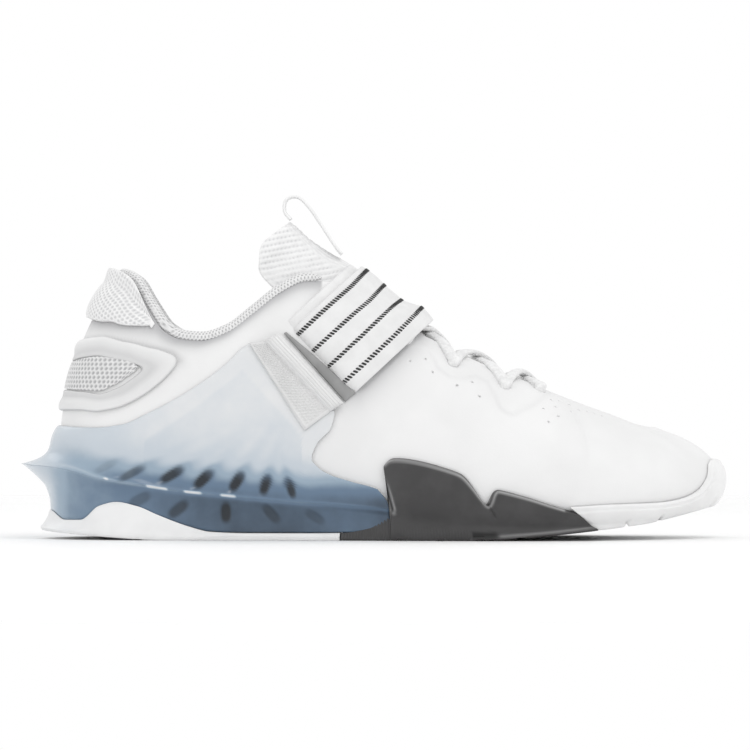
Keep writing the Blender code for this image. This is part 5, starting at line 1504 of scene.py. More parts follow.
def make_forefoot():
    edge_line = evened(flowing(FLANGE_EDGE, 220), 220)
    count = 24
    crest = edge_line[np.argmax(edge_line[:, 1] > 30.5):]

    def top_of(at):
        x = along(at) / MM
        height = float(np.interp(x, crest[:, 0], crest[:, 1]))
        rear = float(np.clip((x - 1.6) / 6.0, 0, 1))
        return (height - 6.0 * (1 - math.sqrt(1 - (1 - rear) ** 2))) * MM

    def height_of(row):
        top = 28 * MM
        for _ in range(12):
            top = blend(top, top_of(row(top)), 0.6)
        return max(top, floor_height(row(LIP_FOOT)) + LIP_LEAST)

    def inner(row, side):
        plate, row = row
        if plate:
            at = row(0)
            edge, ledge, half, middle = ledge_points(at, way_of(at), side, -GAP)
            shares = np.linspace(0.02, 1, count + 3) ** 1.5
            return [blend(edge, ledge, s) for s in shares] + [half, middle]
        return lip_inner(row, side, height_of(row), count + 3)

    def bottom_points(row, side, out, low, sole_cut):
        at = row(low)
        edge = shell_point(side * way_of(at), low + 0.5 * MM, out)
        floor = shell_point(side * way_of(at), low + sole_cut, out - 0.8 * MM)
        middle = spoke(at, low + sole_cut)
        return [edge, floor, blend(floor, middle, 0.04), blend(floor, middle, 0.5), middle]

    def outer(row, side):
        plate, row = row
        grooves = groove_depth(row(0), FOREFOOT_GROOVES)
        low = ground(row(0))
        rib = 0.16 * MM * ripple(along(row(0)) / MM, 1.3)
        if plate:
            at = row(0)
            foot = float(wedge("foot_height", at)) - 0.45 * MM
            out = float(wedge("foot", at))
            base = float(wedge("base", at))
            s = np.linspace(0, 1, count)
            z = blend(foot, low + 1.2 * MM, s)
            reach = blend(out + 0.2 * MM, base, s) + rib * soft_step(s, 0.12)
            points = list(shell_points(side * way_of(at), z, reach))
            return points + bottom_points(row, side, base, low, grooves)
        top = height_of(row)
        wall = 1.10 * FLANGE_WALL
        share = np.linspace(0, 1, count) ** 1.3
        z = blend(top, low + 1.6 * MM, share)
        u = side * way_of(row(z))
        x_mm, z_mm = side_mm(shell_points(u, z, 0))
        bevel = soft_step(line_distance(x_mm, z_mm, edge_line) - 0.05, 1.7)
        out = GAP + wall * (0.30 + 0.70 * bevel) * (1 + 0.34 * share)
        out -= 0.7 * MM * hump(line_distance(x_mm, z_mm, FLANGE_CREASE), 0.55)
        band = soft_step(4.6 - (z - low) / MM, 0.7) * (1 - soft_step(x_mm - 39.5, 1.0))
        out += band * (0.25 * MM + rib)
        step = soft_step(x_mm - 40.5, 1.0) * soft_step(3.4 - (z - low) / MM, 1.2)
        out -= 0.9 * MM * step * (1 - soft_step(x_mm - 49, 6))
        points = list(shell_points(u, z, out))
        return points + bottom_points(row, side, GAP + 1.3 * wall, low, grooves)

    start, thin_end, end = way_of(np.array([HEEL_OUTSOLE_END + HEEL_JOINT, PLATE_THIN_END, PLATE_END]))
    plate_ways = [*np.linspace(start, thin_end, 44), *np.linspace(thin_end, end, 14)[1:]]
    rows = [(True, plain_row(w)) for w in plate_ways]
    shares = np.linspace(0, 1, 190)
    rows += [
        (False, lambda z, s=s: blend(flange_back(z), toe_joint(z) - TOE_JOINT_HALF, s)) for s in shares
    ]
    inner_grid, outer_grid = whole(rows, inner), whole(rows, outer)
    x, z = side_mm(outer_grid)
    raised = len(rows) - len(shares)
    flange = (np.arange(len(rows)) >= raised)[:, None]
    # Painted highlights lie along the bevelled rim and along the tread's edge ahead of the step,
    # and painted shade darkens the recessed step.
    near = line_distance(x, z, edge_line)
    rim = hump(near - 0.85, 0.55) * (x < 80) * (z > 10) * flange * 0.9
    rim *= np.maximum(soft_step(x - 4, 3), soft_step(z - 30.5, 2))
    lowest = np.vectorize(ground)(x * MM / UPPER_LENGTH + ORIGIN_SHARE) / MM
    tread = hump(z - lowest - 1.9, 0.5) * soft_step(x - 51, 3) * flange * 0.55
    step = soft_step(x - 40.8, 0.8) * (1 - soft_step(x - 50, 3)) * soft_step(4.2 - z + lowest, 1.2) * flange
    slab(
        "forefoot_rubber", inner_grid, outer_grid, DARK_RUBBER,
        ("outsole_forefoot",), sharp=48,
        attributes={"edge": np.maximum(rim, tread), "step": 0.9 * step},
    )


def make_toe_rand():
    count = 22

    def top_of(at):
        return float(table_column(TOE_RAND, TOE_RAND_COLUMNS, "height", at)) * TOE_RAND_HEIGHT

    def height_of(row):
        top = top_of(row(top_of(row(14 * MM))))
        return max(top, floor_height(row(LIP_FOOT)) + LIP_LEAST)

    def inner(row, side):
        return lip_inner(row, side, height_of(row), count + 1)

    def outer(row, side):
        top = height_of(row)
        wall = table_column(TOE_RAND, TOE_RAND_COLUMNS, "out", row(top), np.interp) * TOE_RAND_WALL
        low = ground(row(0))
        tip = float(np.clip((row(0) - 0.9) / 0.1, 0, 1))
        edge = low + 2.2 * MM * tip
        x = along(row(0)) / MM
        notch = max(depth * hump(x - spot, 0.7, 4) for spot, depth in TOE_NOTCHES)
        share = np.linspace(0, 1, count - 2) ** 1.15
        z = blend(top, edge + 1.2 * MM, share)
        down = (top - z) / MM
        lip = 0.45 + 0.40 * soft_step(down, 0.8) + 0.15 * soft_step(down - 1.9, 0.9)
        lip -= 0.05 * hump(down - 2.3, 0.35)
        out = GAP + wall * lip * (1 - 0.12 * share**3)
        out -= notch * MM * 0.5 * soft_step(share - 0.72, 0.2)
        points = list(shell_points(side * way_of(row(z)), z, out))
        at = row(low)
        lift = notch * MM * 0.6
        points.append(shell_point(side * way_of(at), edge + 0.4 * MM + lift, GAP + 0.72 * wall))
        points.append(shell_point(side * way_of(at), edge + lift, GAP + 0.40 * wall))
        cut_in = groove_depth(at, TOE_GROOVES) * 0.8
        middle = spoke(at, ground(np.clip(at, 0, SPOKE_ENDS[1])) + cut_in)
        near = blend(points[-1], middle, 0.06)
        near[2] = max(near[2], low + cut_in)
        return points + [near, blend(near, middle, 0.5), middle]

    ways = np.linspace(way_of(TOE_JOINT), 1, 150)[1:]
    shares = np.linspace(0, 1, 20)[:-1]
    first = [
        lambda z, s=s: blend(toe_joint(z) + TOE_JOINT_HALF, float(at_of(ways[6])), s) for s in shares
    ]
    rows = first + [plain_row(w) for w in ways[6:]]
    slab(
        "toe_rand", whole(rows, inner), whole(rows, outer), WHITE_RUBBER,
        ("outsole_toe",), open_ends=(len(rows) - 1,), sharp=48,
    )


# The padded and knitted pieces.


# The distance between a honeycomb's rows, as a share of its pitch.
HEX_ROW = 0.866


def hex_pits(along_mm, across_mm, pitch, size):
    """How deep places lie in a honeycomb of small holes, from 0 to 1."""
    row = np.round(across_mm / (pitch * HEX_ROW))
    nearest = np.full(np.shape(along_mm + across_mm), 9.0)
    for step in (-1, 0, 1):
        r = row + step
        s = np.where(r % 2 == 0, 0.0, 0.5)
        column = np.round(along_mm / pitch - s) + s
        nearest = np.minimum(
            nearest, np.hypot(along_mm - column * pitch, across_mm - r * pitch * HEX_ROW)
        )
    return 1 - soft_step(nearest - size * 0.45, size * 0.75)


def surface_ways(grid):
    """How far each point of a grid lies along and across it, in millimetres."""
    down = np.linalg.norm(np.diff(grid, axis=0), axis=-1) / MM
    over = np.linalg.norm(np.diff(grid, axis=1), axis=-1) / MM
    along_mm = np.concatenate([np.zeros((1, grid.shape[1])), np.cumsum(down, axis=0)])
    across_mm = np.concatenate([np.zeros((grid.shape[0], 1)), np.cumsum(over, axis=1)], axis=1)
    return along_mm, across_mm


# How far apart the knits' holes are, in millimetres.
ROLL_PITCH = 1.55
PAD_PITCH = 2.05
WINDOW_PITCH = 2.15


def make_collar_roll():
    """The knitted roll along the collar's edge."""
    end = float(way_of(COLLAR_ROLL_END))
    u = np.linspace(-end, end, 240)
    up = unit(skin(u, 1.0) - skin(u, 0.97))
    middle = skin(u, 1.0, -UPPER_WALL / 2) + up * (GAP + COLLAR_BEAD / 2)
    line = evened(np.concatenate([middle, up], axis=1), 760)
    path, ups = line[:, :3], line[:, 3:]
    share = np.linspace(0, 1, len(path))
    taper = 0.30 + 0.70 * soft_step(np.minimum(share, 1 - share), 0.035)
    sides = 26

    def pits(way, turn, size):
        return hex_pits(way / MM, turn * COLLAR_BEAD / 2 / MM, ROLL_PITCH, size)

    def relief(way, turn):
        return -0.30 * MM * pits(way, turn, 0.50)

    rings = tube(path, ups, COLLAR_BEAD * 1.02 * taper, COLLAR_BEAD * 1.04 * taper, sides, 1.0, relief)
    turn = np.arange(sides)[None] * 2 * math.pi / sides
    # The 'pits' attribute paints shade into the knit's holes.
    piece = joined_tubes(
        "collar_roll_knit", [rings], COLLAR_KNIT, ("collar_roll",),
        {"pits": pits(way_along(path)[:, None], turn, 0.46)},
    )
    return piece


# The heel pad's lower edge, and the counter's frame and window, seen from the side in millimetres.
PAD_EDGE = (
    (-127.5, 93.8), (-118.3, 92.9), (-109.7, 91.8), (-101.1, 90.9), (-96.5, 91.0), (-93.5, 92.2),
)
FRAME_OUTER = (
    (-127.1, 83.9), (-119.8, 85.4), (-109.0, 84.3), (-101.4, 83.2), (-90.6, 81.6), (-85.2, 79.3),
    (-83.3, 76.4), (-84.5, 73.6), (-90.6, 67.1), (-101.4, 59.3), (-112.9, 55.1), (-122.1, 54.0),
    (-133.6, 54.7),
)
FRAME_INNER = (
    (-129.8, 75.6), (-120.6, 77.5), (-109.0, 76.2), (-101.4, 74.9), (-98.4, 74.1), (-97.7, 73.2),
    (-99.4, 71.3), (-103.4, 68.3), (-110.6, 63.9), (-121.3, 62.0), (-131.7, 63.6),
)


def pad_places(rows):
    """Ways round and shares up the skin of places seen from the side, the first at the back."""
    places = np.array([u_v_of(x * MM, z * MM) for x, z in rows])
    places[0, 0] = 0
    return places


# How far the pad's top stands up over the roll, and out from it.
PAD_LIFT = 3.9 * MM
PAD_LEAN = 1.5 * MM


def make_heel_pad():
    edge_u, edge_v = pad_places(PAD_EDGE).T
    end = edge_u[-1]
    ways = np.linspace(-end, end, 260)
    shares = np.concatenate([[0, 0.015], np.linspace(0.04, 0.96, 50), [0.985, 1.0]])
    low = np.minimum(smooth(np.abs(ways), edge_u, edge_v), 0.955)
    v = low[:, None] + (0.985 - low[:, None]) * shares[None]
    u = ways[:, None] + 0 * v
    closeness = 1 - (ways[:, None] / end) ** 2
    # Near the back the pad's top stands up and covers the roll from outside.
    over = soft_step(shares[None] - 0.80, 0.20) * soft_step(closeness - 0.05, 0.5)
    raised = np.array([0, 0, 1.0]) * (over * PAD_LIFT)[..., None]
    inner = skin(u, v, OVERLAY_GAP + PAD_LEAN * over) + raised
    crown = np.sin(np.pi * shares**0.85) ** 0.34
    crown = np.maximum(crown, 0.45 * (1 - shares))
    thickness = HEEL_PAD_WALL * (0.12 + 0.88 * closeness**0.8) * (0.22 + 0.80 * crown[None])
    thickness = thickness * (1 - 0.35 * over)
    plain = skin(u, v, OVERLAY_GAP + PAD_LEAN * over + thickness) + raised
    along_mm, across_mm = surface_ways(plain)
    middle = along_mm[len(ways) // 2][None]
    pits = hex_pits(across_mm, along_mm - middle, PAD_PITCH, 0.80)
    edge = soft_step(np.minimum(shares, 1 - shares), 0.05)[None]
    pits = pits * edge * soft_step(closeness - 0.05, 0.10)
    normals = skin(u, v, MM) - skin(u, v, 0)
    outer = plain - 0.34 * normals * pits[..., None]
    # The 'pits' attribute paints shade into the pad's holes.
    piece = slab(
        "heel_pad_knit", inner, outer, PAD_KNIT, ("heel_pad",),
        attributes={"pits": pits * 0.7},
    )


def make_counter():
    """The moulded frame round the heel's counter, with a knitted mesh in its window."""
    scale = np.array([90.0, 75.0])

    def edge(rows):
        """One side of a loop: along its top from the heel to its tip, and back below."""
        places = pad_places(rows)
        places[-1, 0] = 0
        mirrored = places[1] * (-1, 1), places[-2] * (-1, 1)
        line = flowing(np.array([mirrored[0], *places, mirrored[1]]) * scale, 400) / scale
        ends = np.abs(line[:, None] - places[[0, -1]][None]).sum(-1).argmin(0)
        line = line[ends[0]:ends[1] + 1]
        line = softened(evened(line * scale, 120) / scale, 30)
        line[[0, -1], 0] = 0
        return line[:, 0], line[:, 1]

    def loop(edge_u, edge_v):
        """Both sides of a loop, as places round and up the skin."""
        return np.stack([
            np.concatenate([-edge_u, edge_u[::-1][1:-1]]), np.concatenate([edge_v, edge_v[::-1][1:-1]])
        ])[..., None]

    inner_u, inner_v = edge(FRAME_INNER)
    across = np.concatenate([np.linspace(0, 0.12, 5)[:-1], np.linspace(0.12, 0.9, 18), [0.95, 0.98, 1.0]])
    rise = np.interp(
        across, (0, 0.03, 0.09, 0.22, 0.30, 0.40, 0.66, 0.84, 0.93, 1.0),
        (0.10, 0.62, 0.86, 0.98, 1.00, 0.92, 0.42, 0.40, 0.52, 0.12),
    )
    u, v = loop(*edge(FRAME_OUTER)) * (1 - across) + loop(inner_u, inner_v) * across
    # Painted shade: darker at the frame's two edges and in the hollow band before its window.
    painted_frame_shade = np.interp(across, (0, 0.06, 0.12, 0.45, 0.72, 0.96, 1.0), (0.6, 0.05, 0, 0.12, 0.42, 0.3, 0.7))
    slab(
        "counter_frame_moulded", skin(u, v, OVERLAY_GAP),
        skin(u, v, OVERLAY_GAP + rise[None] * FRAME_RISE * 1.25), FRAME_PLASTIC,
        ("counter_frame",), closed=True, attributes={"shade": painted_frame_shade[None] + 0 * u},
    )
    tip = int(np.argmax(inner_u))
    ways = np.linspace(-0.965, 0.965, 230) * inner_u[tip]
    grow = np.abs(ways) / 0.965
    high = np.interp(grow, inner_u[:tip + 1], inner_v[:tip + 1]) - 0.006
    low = np.interp(grow, inner_u[tip:][::-1], inner_v[tip:][::-1]) + 0.006
    high = np.maximum(high, low + 0.002)
    shares = np.linspace(0, 1, 44)
    v = low[:, None] + (high - low)[:, None] * shares
    u = ways[:, None] + 0 * v
    plain = skin(u, v, OVERLAY_GAP)
    along_mm, _ = surface_ways(plain)
    height_mm = plain[..., 2] / MM
    pits = hex_pits(along_mm - along_mm[len(ways) // 2], height_mm, WINDOW_PITCH, 0.82)
    bulge = 0.45 + 0.55 * np.sin(np.pi * shares)[None] ** 0.5
    outer = skin(u, v, OVERLAY_GAP + MESH_RISE * bulge + 0.40 * MM * (1 - pits))
    # The 'pits' attribute paints shade into the mesh's holes.
    slab(
        "counter_window_mesh", plain, outer, WINDOW_KNIT, ("counter_mesh",),
        attributes={"pits": pits},
    )


def make_tongue(tree):
    """The padded tongue, with the knit's ribs across its top."""
    grid = tongue_rows()
    rows, columns = 190, 104
    # Its own even steps down the middle keep the ribs evenly spaced.
    fine = np.stack([flowing(row, columns) for row in flowing_rows(grid, rows)])
    normals = grid_normals(fine)
    share_down = np.linspace(0, 1, rows)[:, None]
    share_over = np.linspace(0, 1, columns)[None]
    top_share = np.clip(1 - share_down * (len(grid) - 1) / 5.0, 0, 1)
    crown = np.sin(np.pi * share_over) ** 0.6
    depth = TONGUE_THICKNESS + TONGUE_PADDING * top_share * crown
    rim = np.minimum(share_down / 0.06, 1) * np.minimum(np.minimum(share_over, 1 - share_over) / 0.05, 1)
    rim = np.sqrt(1 - (1 - np.clip(rim, 0, 1)) ** 2)
    depth = depth * (0.32 + 0.68 * rim) * (1 - 0.5 * soft_step(share_down - 0.93, 0.07))
    along_mm, across_mm = surface_ways(fine)
    middle = along_mm[:, columns // 2][:, None]
    centre = across_mm - across_mm[:, columns // 2][:, None]
    top = 1 - soft_step(middle - 46, 8)
    # Level ribs run round the sides, and fine ribs down the front cross them.
    x_mm, z_mm = side_mm(fine)
    level = (z_mm - 0.20 * x_mm) / 2.4
    front = 1 - soft_step(np.abs(centre) - 7, 6)
    rib = wave(level, 1) * (1 - 0.45 * front)
    upright = wave(centre, 1.9) * front
    stitch = wave(x_mm, 1.7, np.round(level) * math.pi)
    pits = np.maximum(rib**2 * (0.35 + 0.65 * stitch**2), 0.45 * upright**2) * top * rim
    soft = 0.34 * MM * (1 - np.maximum(rib, upright)) * top * rim
    inner = fine - normals * depth[..., None]
    outer = fine + normals * (soft - 0.22 * MM * pits)[..., None]
    outer, inner = settled(outer, inner, tree, 0.12 * MM)
    # The 'pits' attribute paints shade into the grooves between the ribs and stitches.
    piece = slab(
        "tongue_padded", inner, outer, TONGUE_KNIT, ("tongue",),
        attributes={"pits": pits * 0.75},
    )
    return piece


# Laces, strap, keeper and pull loop.


def top_under(tree, x, y):
    """The height of the highest face at a place, or 0 where there is none."""
    hit = tree.ray_cast(Vector((float(x), float(y), 0.2)), Vector((0, 0, -1)))
    return hit[0].z if hit[0] is not None else 0


def taut(line):
    """The upper hull of a line given as way and height."""
    hull = [0]
    for i in range(1, len(line)):
        while len(hull) > 1:
            p, q, r = line[hull[-2]], line[hull[-1]], line[i]
            if (q[0] - p[0]) * (r[1] - p[1]) - (q[1] - p[1]) * (r[0] - p[0]) >= 0:
                hull.pop()
            else:
                break
        hull.append(i)
    return np.interp(line[:, 0], line[hull, 0], line[hull, 1])


# How far from its hole a lace lies flat.
LACE_REACH = 3.4 * MM


def lace_line(tree, start, end, lift):
    """A lace that comes up out of one hole, crosses the throat and goes down into another."""
    half = LACE_THICKNESS / 2
    holes = []
    for at, v, side in (start, end):
        u = side * way_of(at)
        out = skin_normal(np.array(u), np.array(v))
        holes.append((skin(u, v), out))
    ends = []
    for (place, out), other in zip(holes, holes[::-1]):
        way = unit(other[0] - place)
        ends.append((place, out, place + way * LACE_REACH + out * (half + 0.75 * MM)))
    a, b = ends[0][2], ends[1][2]
    shares = np.linspace(0, 1, 41)
    points = []
    for share in shares:
        x, y, z = blend(a, b, share)
        lowest = top_under(tree, x, y) + half + 0.35 * MM
        points.append([x, y, max(z if share in (0, 1) else 0, lowest)])
    points = np.array(points)
    flat = np.stack([np.hypot(*(points[:, :2] - a[:2]).T), points[:, 2]], 1)
    points[:, 2] = taut(flat) + lift * np.sin(math.pi * shares) ** 2
    points = points[::5]

    def mouth(place, out, top):
        way = top - place
        way -= out * np.dot(way, out)
        return [
            place - out * 3.6 * MM - way * 0.10,
            place - out * 1.6 * MM - way * 0.10,
            place + out * 0.5 * MM - way * 0.06,
            place + out * (half + 0.95 * MM) + way * 0.38,
        ]

    line = mouth(*ends[0]) + list(points) + mouth(*ends[1])[::-1]
    line = softened(evened(flowing(line, 260), 190), 3)
    ways = unit(np.gradient(line, axis=0))
    ahead = unit(np.cross(holes[1][0] - holes[0][0], (0, 0, 1.0)))
    if ahead[0] < 0:
        ahead = -ahead
    ups = np.cross(ahead[None], ways)
    ups *= np.sign(ups[len(ups) // 2, 2])
    return line, ups


def braid(way, turn):
    """The herringbone of a flat braided lace."""
    a = np.sin(way / MM * 2 * math.pi / 1.5 + 2 * np.abs(np.sin(turn)) * 3.0)
    b = np.sin(turn * 10)
    return 0.055 * MM * a + 0.03 * MM * b


def make_laces(tree):
    lines = [((*EYELETS[0], -1), (*EYELETS[0], 1), 0.0)]
    for low, high in zip(EYELETS[:-1], EYELETS[1:]):
        lines.append(((*low, -1), (*high, 1), 0.0))
        lines.append(((*low, 1), (*high, -1), LACE_THICKNESS + 0.5 * MM))
    tubes = []
    for start, end, lift in lines:
        line, ups = lace_line(tree, start, end, lift)
        share = np.linspace(0, 1, len(line))
        near = np.minimum(share, 1 - share)
        width = LACE_WIDTH * (1.08 + 0.05 * soft_step(near - 0.05, 0.10))
        thick = LACE_THICKNESS * (2.15 - 0.80 * soft_step(near - 0.08, 0.16))
        tubes.append(tube(line, ups, width, thick, 22, 0.8, braid))
    joined_tubes("lace_crossings", tubes, LACE_CORD, ("laces",))


# The bands are read from their CAD models this far inside their edges and between these angles, in
# degrees from the strap's run, positive towards the inner side.
BAND_INSET = 0.3 * MM
STRAP_SWEEP = (-110, 118)
LINING_SWEEP = (-110, 114)


def band_surface(node, low, high, first, last, rows, columns):
    """A band of the CAD model read as an even grid of places on its outer face, made smooth."""
    tree = tree_of([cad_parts[node]])
    lengthwise = np.array([STRAP_RUN[0], 0, STRAP_RUN[1]])
    sideways = np.array([STRAP_RUN[1], 0, -STRAP_RUN[0]])
    grid = []
    for across in np.linspace(low, high, columns):
        origin = np.array([along(STRAP_PLACE[0]), 0, STRAP_PLACE[1] * COLLAR_HEIGHT])
        centre = origin + sideways * across + lengthwise * STRAP_CENTRE
        centre = centre + np.array([0, throat_middle(0.45), 0])
        line = []
        for angle in np.radians(np.linspace(first, last, 300)):
            way = lengthwise * math.cos(angle) + np.array([0, 1, 0]) * math.sin(angle)
            hit = tree.ray_cast(Vector(centre + way * 0.12), Vector(-way))
            if hit[0] is not None:
                line.append(np.array(hit[0]))
        grid.append(evened(softened(evened(line, 200), 40), rows))
    grid = softened(np.array(grid), 2).transpose(1, 0, 2)
    return grid, grid_normals(grid)


def edge_round(columns, power):
    """How far each column of a band's grid lies in its rounded edge, from 0 to 1."""
    return np.abs(np.linspace(-1, 1, columns)[None]) ** power


def make_strap():
    half = STRAP_WIDTH / 2
    rows, columns = 240, 72
    grid, normals = band_surface(
        "strap", BAND_INSET - half, half - BAND_INSET, *STRAP_SWEEP, rows, columns
    )
    along_mm, across_mm = surface_ways(grid)
    middle = across_mm - across_mm[:, columns // 2][:, None]
    edge = edge_round(columns, 14)
    bands = np.zeros_like(middle)
    for line in STRIPES:
        bands -= 0.16 * MM * hump(middle - line, 0.9)
    hem = 0.12 * MM * hump(np.abs(middle) - half / MM + 1.6, 0.35)
    height = bands - hem + 0.05 * MM * ripple(along_mm, 1.1) * (1 - edge)
    outer = grid + normals * (height - 0.35 * MM * edge)[..., None]
    inner = grid - normals * (STRAP_THICKNESS - 0.25 * MM * edge)[..., None]
    slab(
        "strap_tape", inner, outer, TAPE, ("strap",),
        attributes={"along": along_mm, "across": middle},
    )
    make_stripes(grid, normals, along_mm, middle)


# The four dashed lines across the strap, from its rear edge, in millimetres from its middle.
STRIPES = (-16.4, -6.6, 3.0, 12.7)
DASH_STEP = 1.55
DASH_LENGTH = 2.1
DASH_WIDTH = 1.0
DASH_SLANT = 0.42


def make_stripes(grid, normals, along_mm, middle):
    """Rows of slanted black stitches that lie on the strap."""
    points = []
    faces = []
    profile = np.linspace(-1, 1, 7)

    def read(values, spot):
        """Each row of a grid, read at a place across it."""
        return np.array([
            [np.interp(spot, over, row[:, k]) for k in range(3)] for over, row in zip(middle, values)
        ])

    for line in STRIPES:
        place = read(grid, line)
        side = unit(read(grid, line + 1) - place)
        out = read(normals, line)
        way = along_mm[:, grid.shape[1] // 2]
        for spot in np.arange(2.2, way[-1] - 2.2, DASH_STEP):
            centre, across, up = (
                np.array([np.interp(spot, way, m[:, k]) for k in range(3)]) for m in (place, side, out)
            )
            ahead = unit(np.cross(up, across))
            start = len(points)

            def add(a, b, reach, rise):
                """A point of a stitch: its way along it and over it, and its height."""
                over = b * DASH_WIDTH / 2 * (0.55 + 0.45 * reach) + a * DASH_SLANT
                flat = across * a * DASH_LENGTH / 2 + ahead * over
                points.append(centre + flat * MM + up * rise)

            for a in profile:
                reach = math.sqrt(max(0.0, 1 - a**6))
                for b in (-1, -0.55, 0, 0.55, 1):
                    add(a, b, reach, 0.34 * MM * math.sqrt(1 - 0.9 * b * b) * reach - 0.12 * MM)
            for a in profile[[0, -1]]:
                for b in (-1, 1):
                    add(a, b, 0, -0.3 * MM)
            count = len(profile)
            faces.extend(grid_quads(count, 5, start).tolist())
            last = start + (count - 1) * 5
            low = start + count * 5
            faces.append([start, start + 1, start + 2, start + 3, start + 4, low + 1, low])
            faces.append([last + 4, last + 3, last + 2, last + 1, last, low + 2, low + 3])
            faces.append([start + i * 5 for i in range(count)][::-1] + [low, low + 2])
            faces.append([start + i * 5 + 4 for i in range(count)] + [low + 3, low + 1])
            faces.append([low, low + 1, low + 3, low + 2])
    made("strap_stripes", points, faces, BLACK_THREAD, merge=False)


def make_strap_lining():
    half = STRAP_WIDTH / 2
    low, high = -half - STRAP_LINING_MARGIN, half - 2 * MM
    rows, columns = 160, 48
    grid, normals = band_surface(
        "strap_lining", low + BAND_INSET, high - BAND_INSET, *LINING_SWEEP, rows, columns
    )
    along_mm, across_mm = surface_ways(grid)
    edge = edge_round(columns, 16)
    outer = grid - normals * (0.25 * MM * edge)[..., None]
    inner = grid - normals * (STRAP_LINING_THICKNESS - 0.2 * MM * edge)[..., None]
    slab(
        "strap_under_layer", inner, outer, UNDER_TAPE, ("strap_lining",),
        attributes={"along": along_mm, "across": across_mm},
    )


# The strap's end in the slot beside the keeper's bar, seen from the side in millimetres: the
# slot's edge along the bar, and its edge under the strap.
SLOT_BAR = ((-38.6, 87.6), (-26.0, 73.6), (-12.6, 58.6))
SLOT_STRAP = ((-37.6, 88.2), (-23.4, 76.2), (-8.2, 62.4))


def make_slot():
    """The strap's end where it goes down into the keeper's slot, painted dark grey as the shade in the
    slot.
    """
    bar, strap = flowing(SLOT_BAR, 60), flowing(SLOT_STRAP, 60)
    shares = np.linspace(0, 1, 9)
    places = np.array([[u_v_of(*(blend(a, b, s) * MM)) for s in shares] for a, b in zip(bar, strap)])
    u, v = -places[..., 0], places[..., 1]
    crown = 0.5 + 0.4 * np.sin(math.pi * shares)[None]
    outer = skin(u, v, 0.35 * MM + 0.6 * MM * crown)
    along_mm, across_mm = surface_ways(outer)
    slab(
        "strap_slot_end", skin(u, v, 0.2 * MM), outer, SLOT_TAPE,
        attributes={"along": along_mm, "across": across_mm},
    )


# The keeper's size, the share of the way across where its bar starts, and the grooves in the bar.
KEEPER_LENGTH_MM = 43.0
KEEPER_WIDTH_MM = 20.0
KEEPER_BAR_START = 0.53
KEEPER_RIBS = (0.60, 0.69, 0.78, 0.87)


def make_keeper(tree):
    """The keeper: a base with a raised border and rows of zigzag stitches, and a ribbed bar."""
    base = GAP + WEDGE_LIP + GAP + 0.15 * MM
    rows, columns = 150, 96
    ends = np.linspace(0, 1, rows)
    shares = np.linspace(0, 1, columns)
    height_at = [row[0] for row in KEEPER_SECTION]
    heights = np.interp(shares, height_at, [row[1] for row in KEEPER_SECTION]) * KEEPER_BAR_THICKNESS
    corners = np.array([KEEPER_TOP, KEEPER_BOTTOM])
    length_mm, width_mm = KEEPER_LENGTH_MM, KEEPER_WIDTH_MM
    seats = np.array([
        [np.interp(shares, (0, 0.54, 1), corners[end, :, k]) for k in range(2)] for end in range(2)
    ])
    places = []
    for r in np.linspace(0, 1, 9):
        at, level = blend(seats[0], seats[1], r)[:, ::5]
        places.append([(*u_v_of(along(a), h * COLLAR_HEIGHT), 0) for a, h in zip(at, level)])
    places = flowing_rows(np.array(places), rows)
    few = shares[::5]
    u = np.array([np.interp(shares, few, row[:, 0]) for row in places])
    v = np.array([np.interp(shares, few, row[:, 1]) for row in places])
    ends, share = ends[:, None], shares[None]
    edge_mm = np.minimum(ends, 1 - ends) * length_mm
    # The base: a raised border, and zigzag rows in its field.
    within = np.minimum(np.minimum(edge_mm, share * width_mm), (KEEPER_BAR_START - share) * width_mm + 1.2)
    zig = np.abs((ends * length_mm / 1.5) % 1.0 - 0.5) * 2
    across = np.abs(((share * width_mm - 2.0) / 2.2) % 1.0 - 0.5) * 2
    stitch = hump(across - zig, 0.32)
    fine = 0.5 + 0.5 * ripple(ends * length_mm, 0.75)
    field = soft_step(within - 1.2, 0.5)
    flat = heights[None] + field * (-0.38 * MM + 0.42 * MM * stitch + 0.06 * MM * fine)
    flat = flat * (0.45 + 0.55 * soft_step(np.minimum(edge_mm, share * width_mm), 0.9))
    grooves = sum(hump(share - rib, 0.013) for rib in KEEPER_RIBS)
    bar = heights[None] - 0.30 * MM * grooves
    bar = bar * (0.60 + 0.40 * np.sqrt(np.clip(edge_mm / 1.3, 0, 1)))
    rise = np.where(share < KEEPER_BAR_START, flat, bar)
    inner, outer = skin(-u, v, base), skin(-u, v, base + rise)
    inner, outer = settled(inner, outer, tree, 0.12 * MM)
    slab("keeper_bar", inner, outer, KEEPER_RUBBER, ("keeper",))


def make_pull_loop():
    y = throat_middle(0.36)
    points = [(along(at), y, height * COLLAR_HEIGHT) for at, height in PULL_LOOP]
    path = evened(flowing(points, 200), 220)
    tangent = np.gradient(path, axis=0)
    ups = np.cross(tangent, (0, 1, 0))
    share = np.linspace(0, 1, len(path))
    width = PULL_LOOP_WIDTH * (1 - 0.04 * np.sin(math.pi * share))

    def relief(way, turn):
        """A ribbed tape with a stitched line near each edge."""
        across = np.cos(turn)
        rib = 0.02 * MM * ripple(way / MM, 1.6)
        seam = 0.10 * MM * hump(np.abs(across) - 0.80, 0.07)
        return rib - seam * (0.5 + 0.5 * ripple(way / MM, 2.2))

    sides = 28
    rings = tube(path, ups, width, PULL_LOOP_THICKNESS, sides, 0.55, relief)
    way = way_along(path)[:, None] / MM + np.zeros((1, sides))
    over = np.cos(np.arange(sides) * 2 * math.pi / sides)[None] * PULL_LOOP_WIDTH / 2 / MM + 0 * way
    joined_tubes(
        "pull_loop_tape", [rings], LOOP_TAPE, ("pull_loop",),
        {"along": way, "across": over},
    )


# Floor, light and camera.


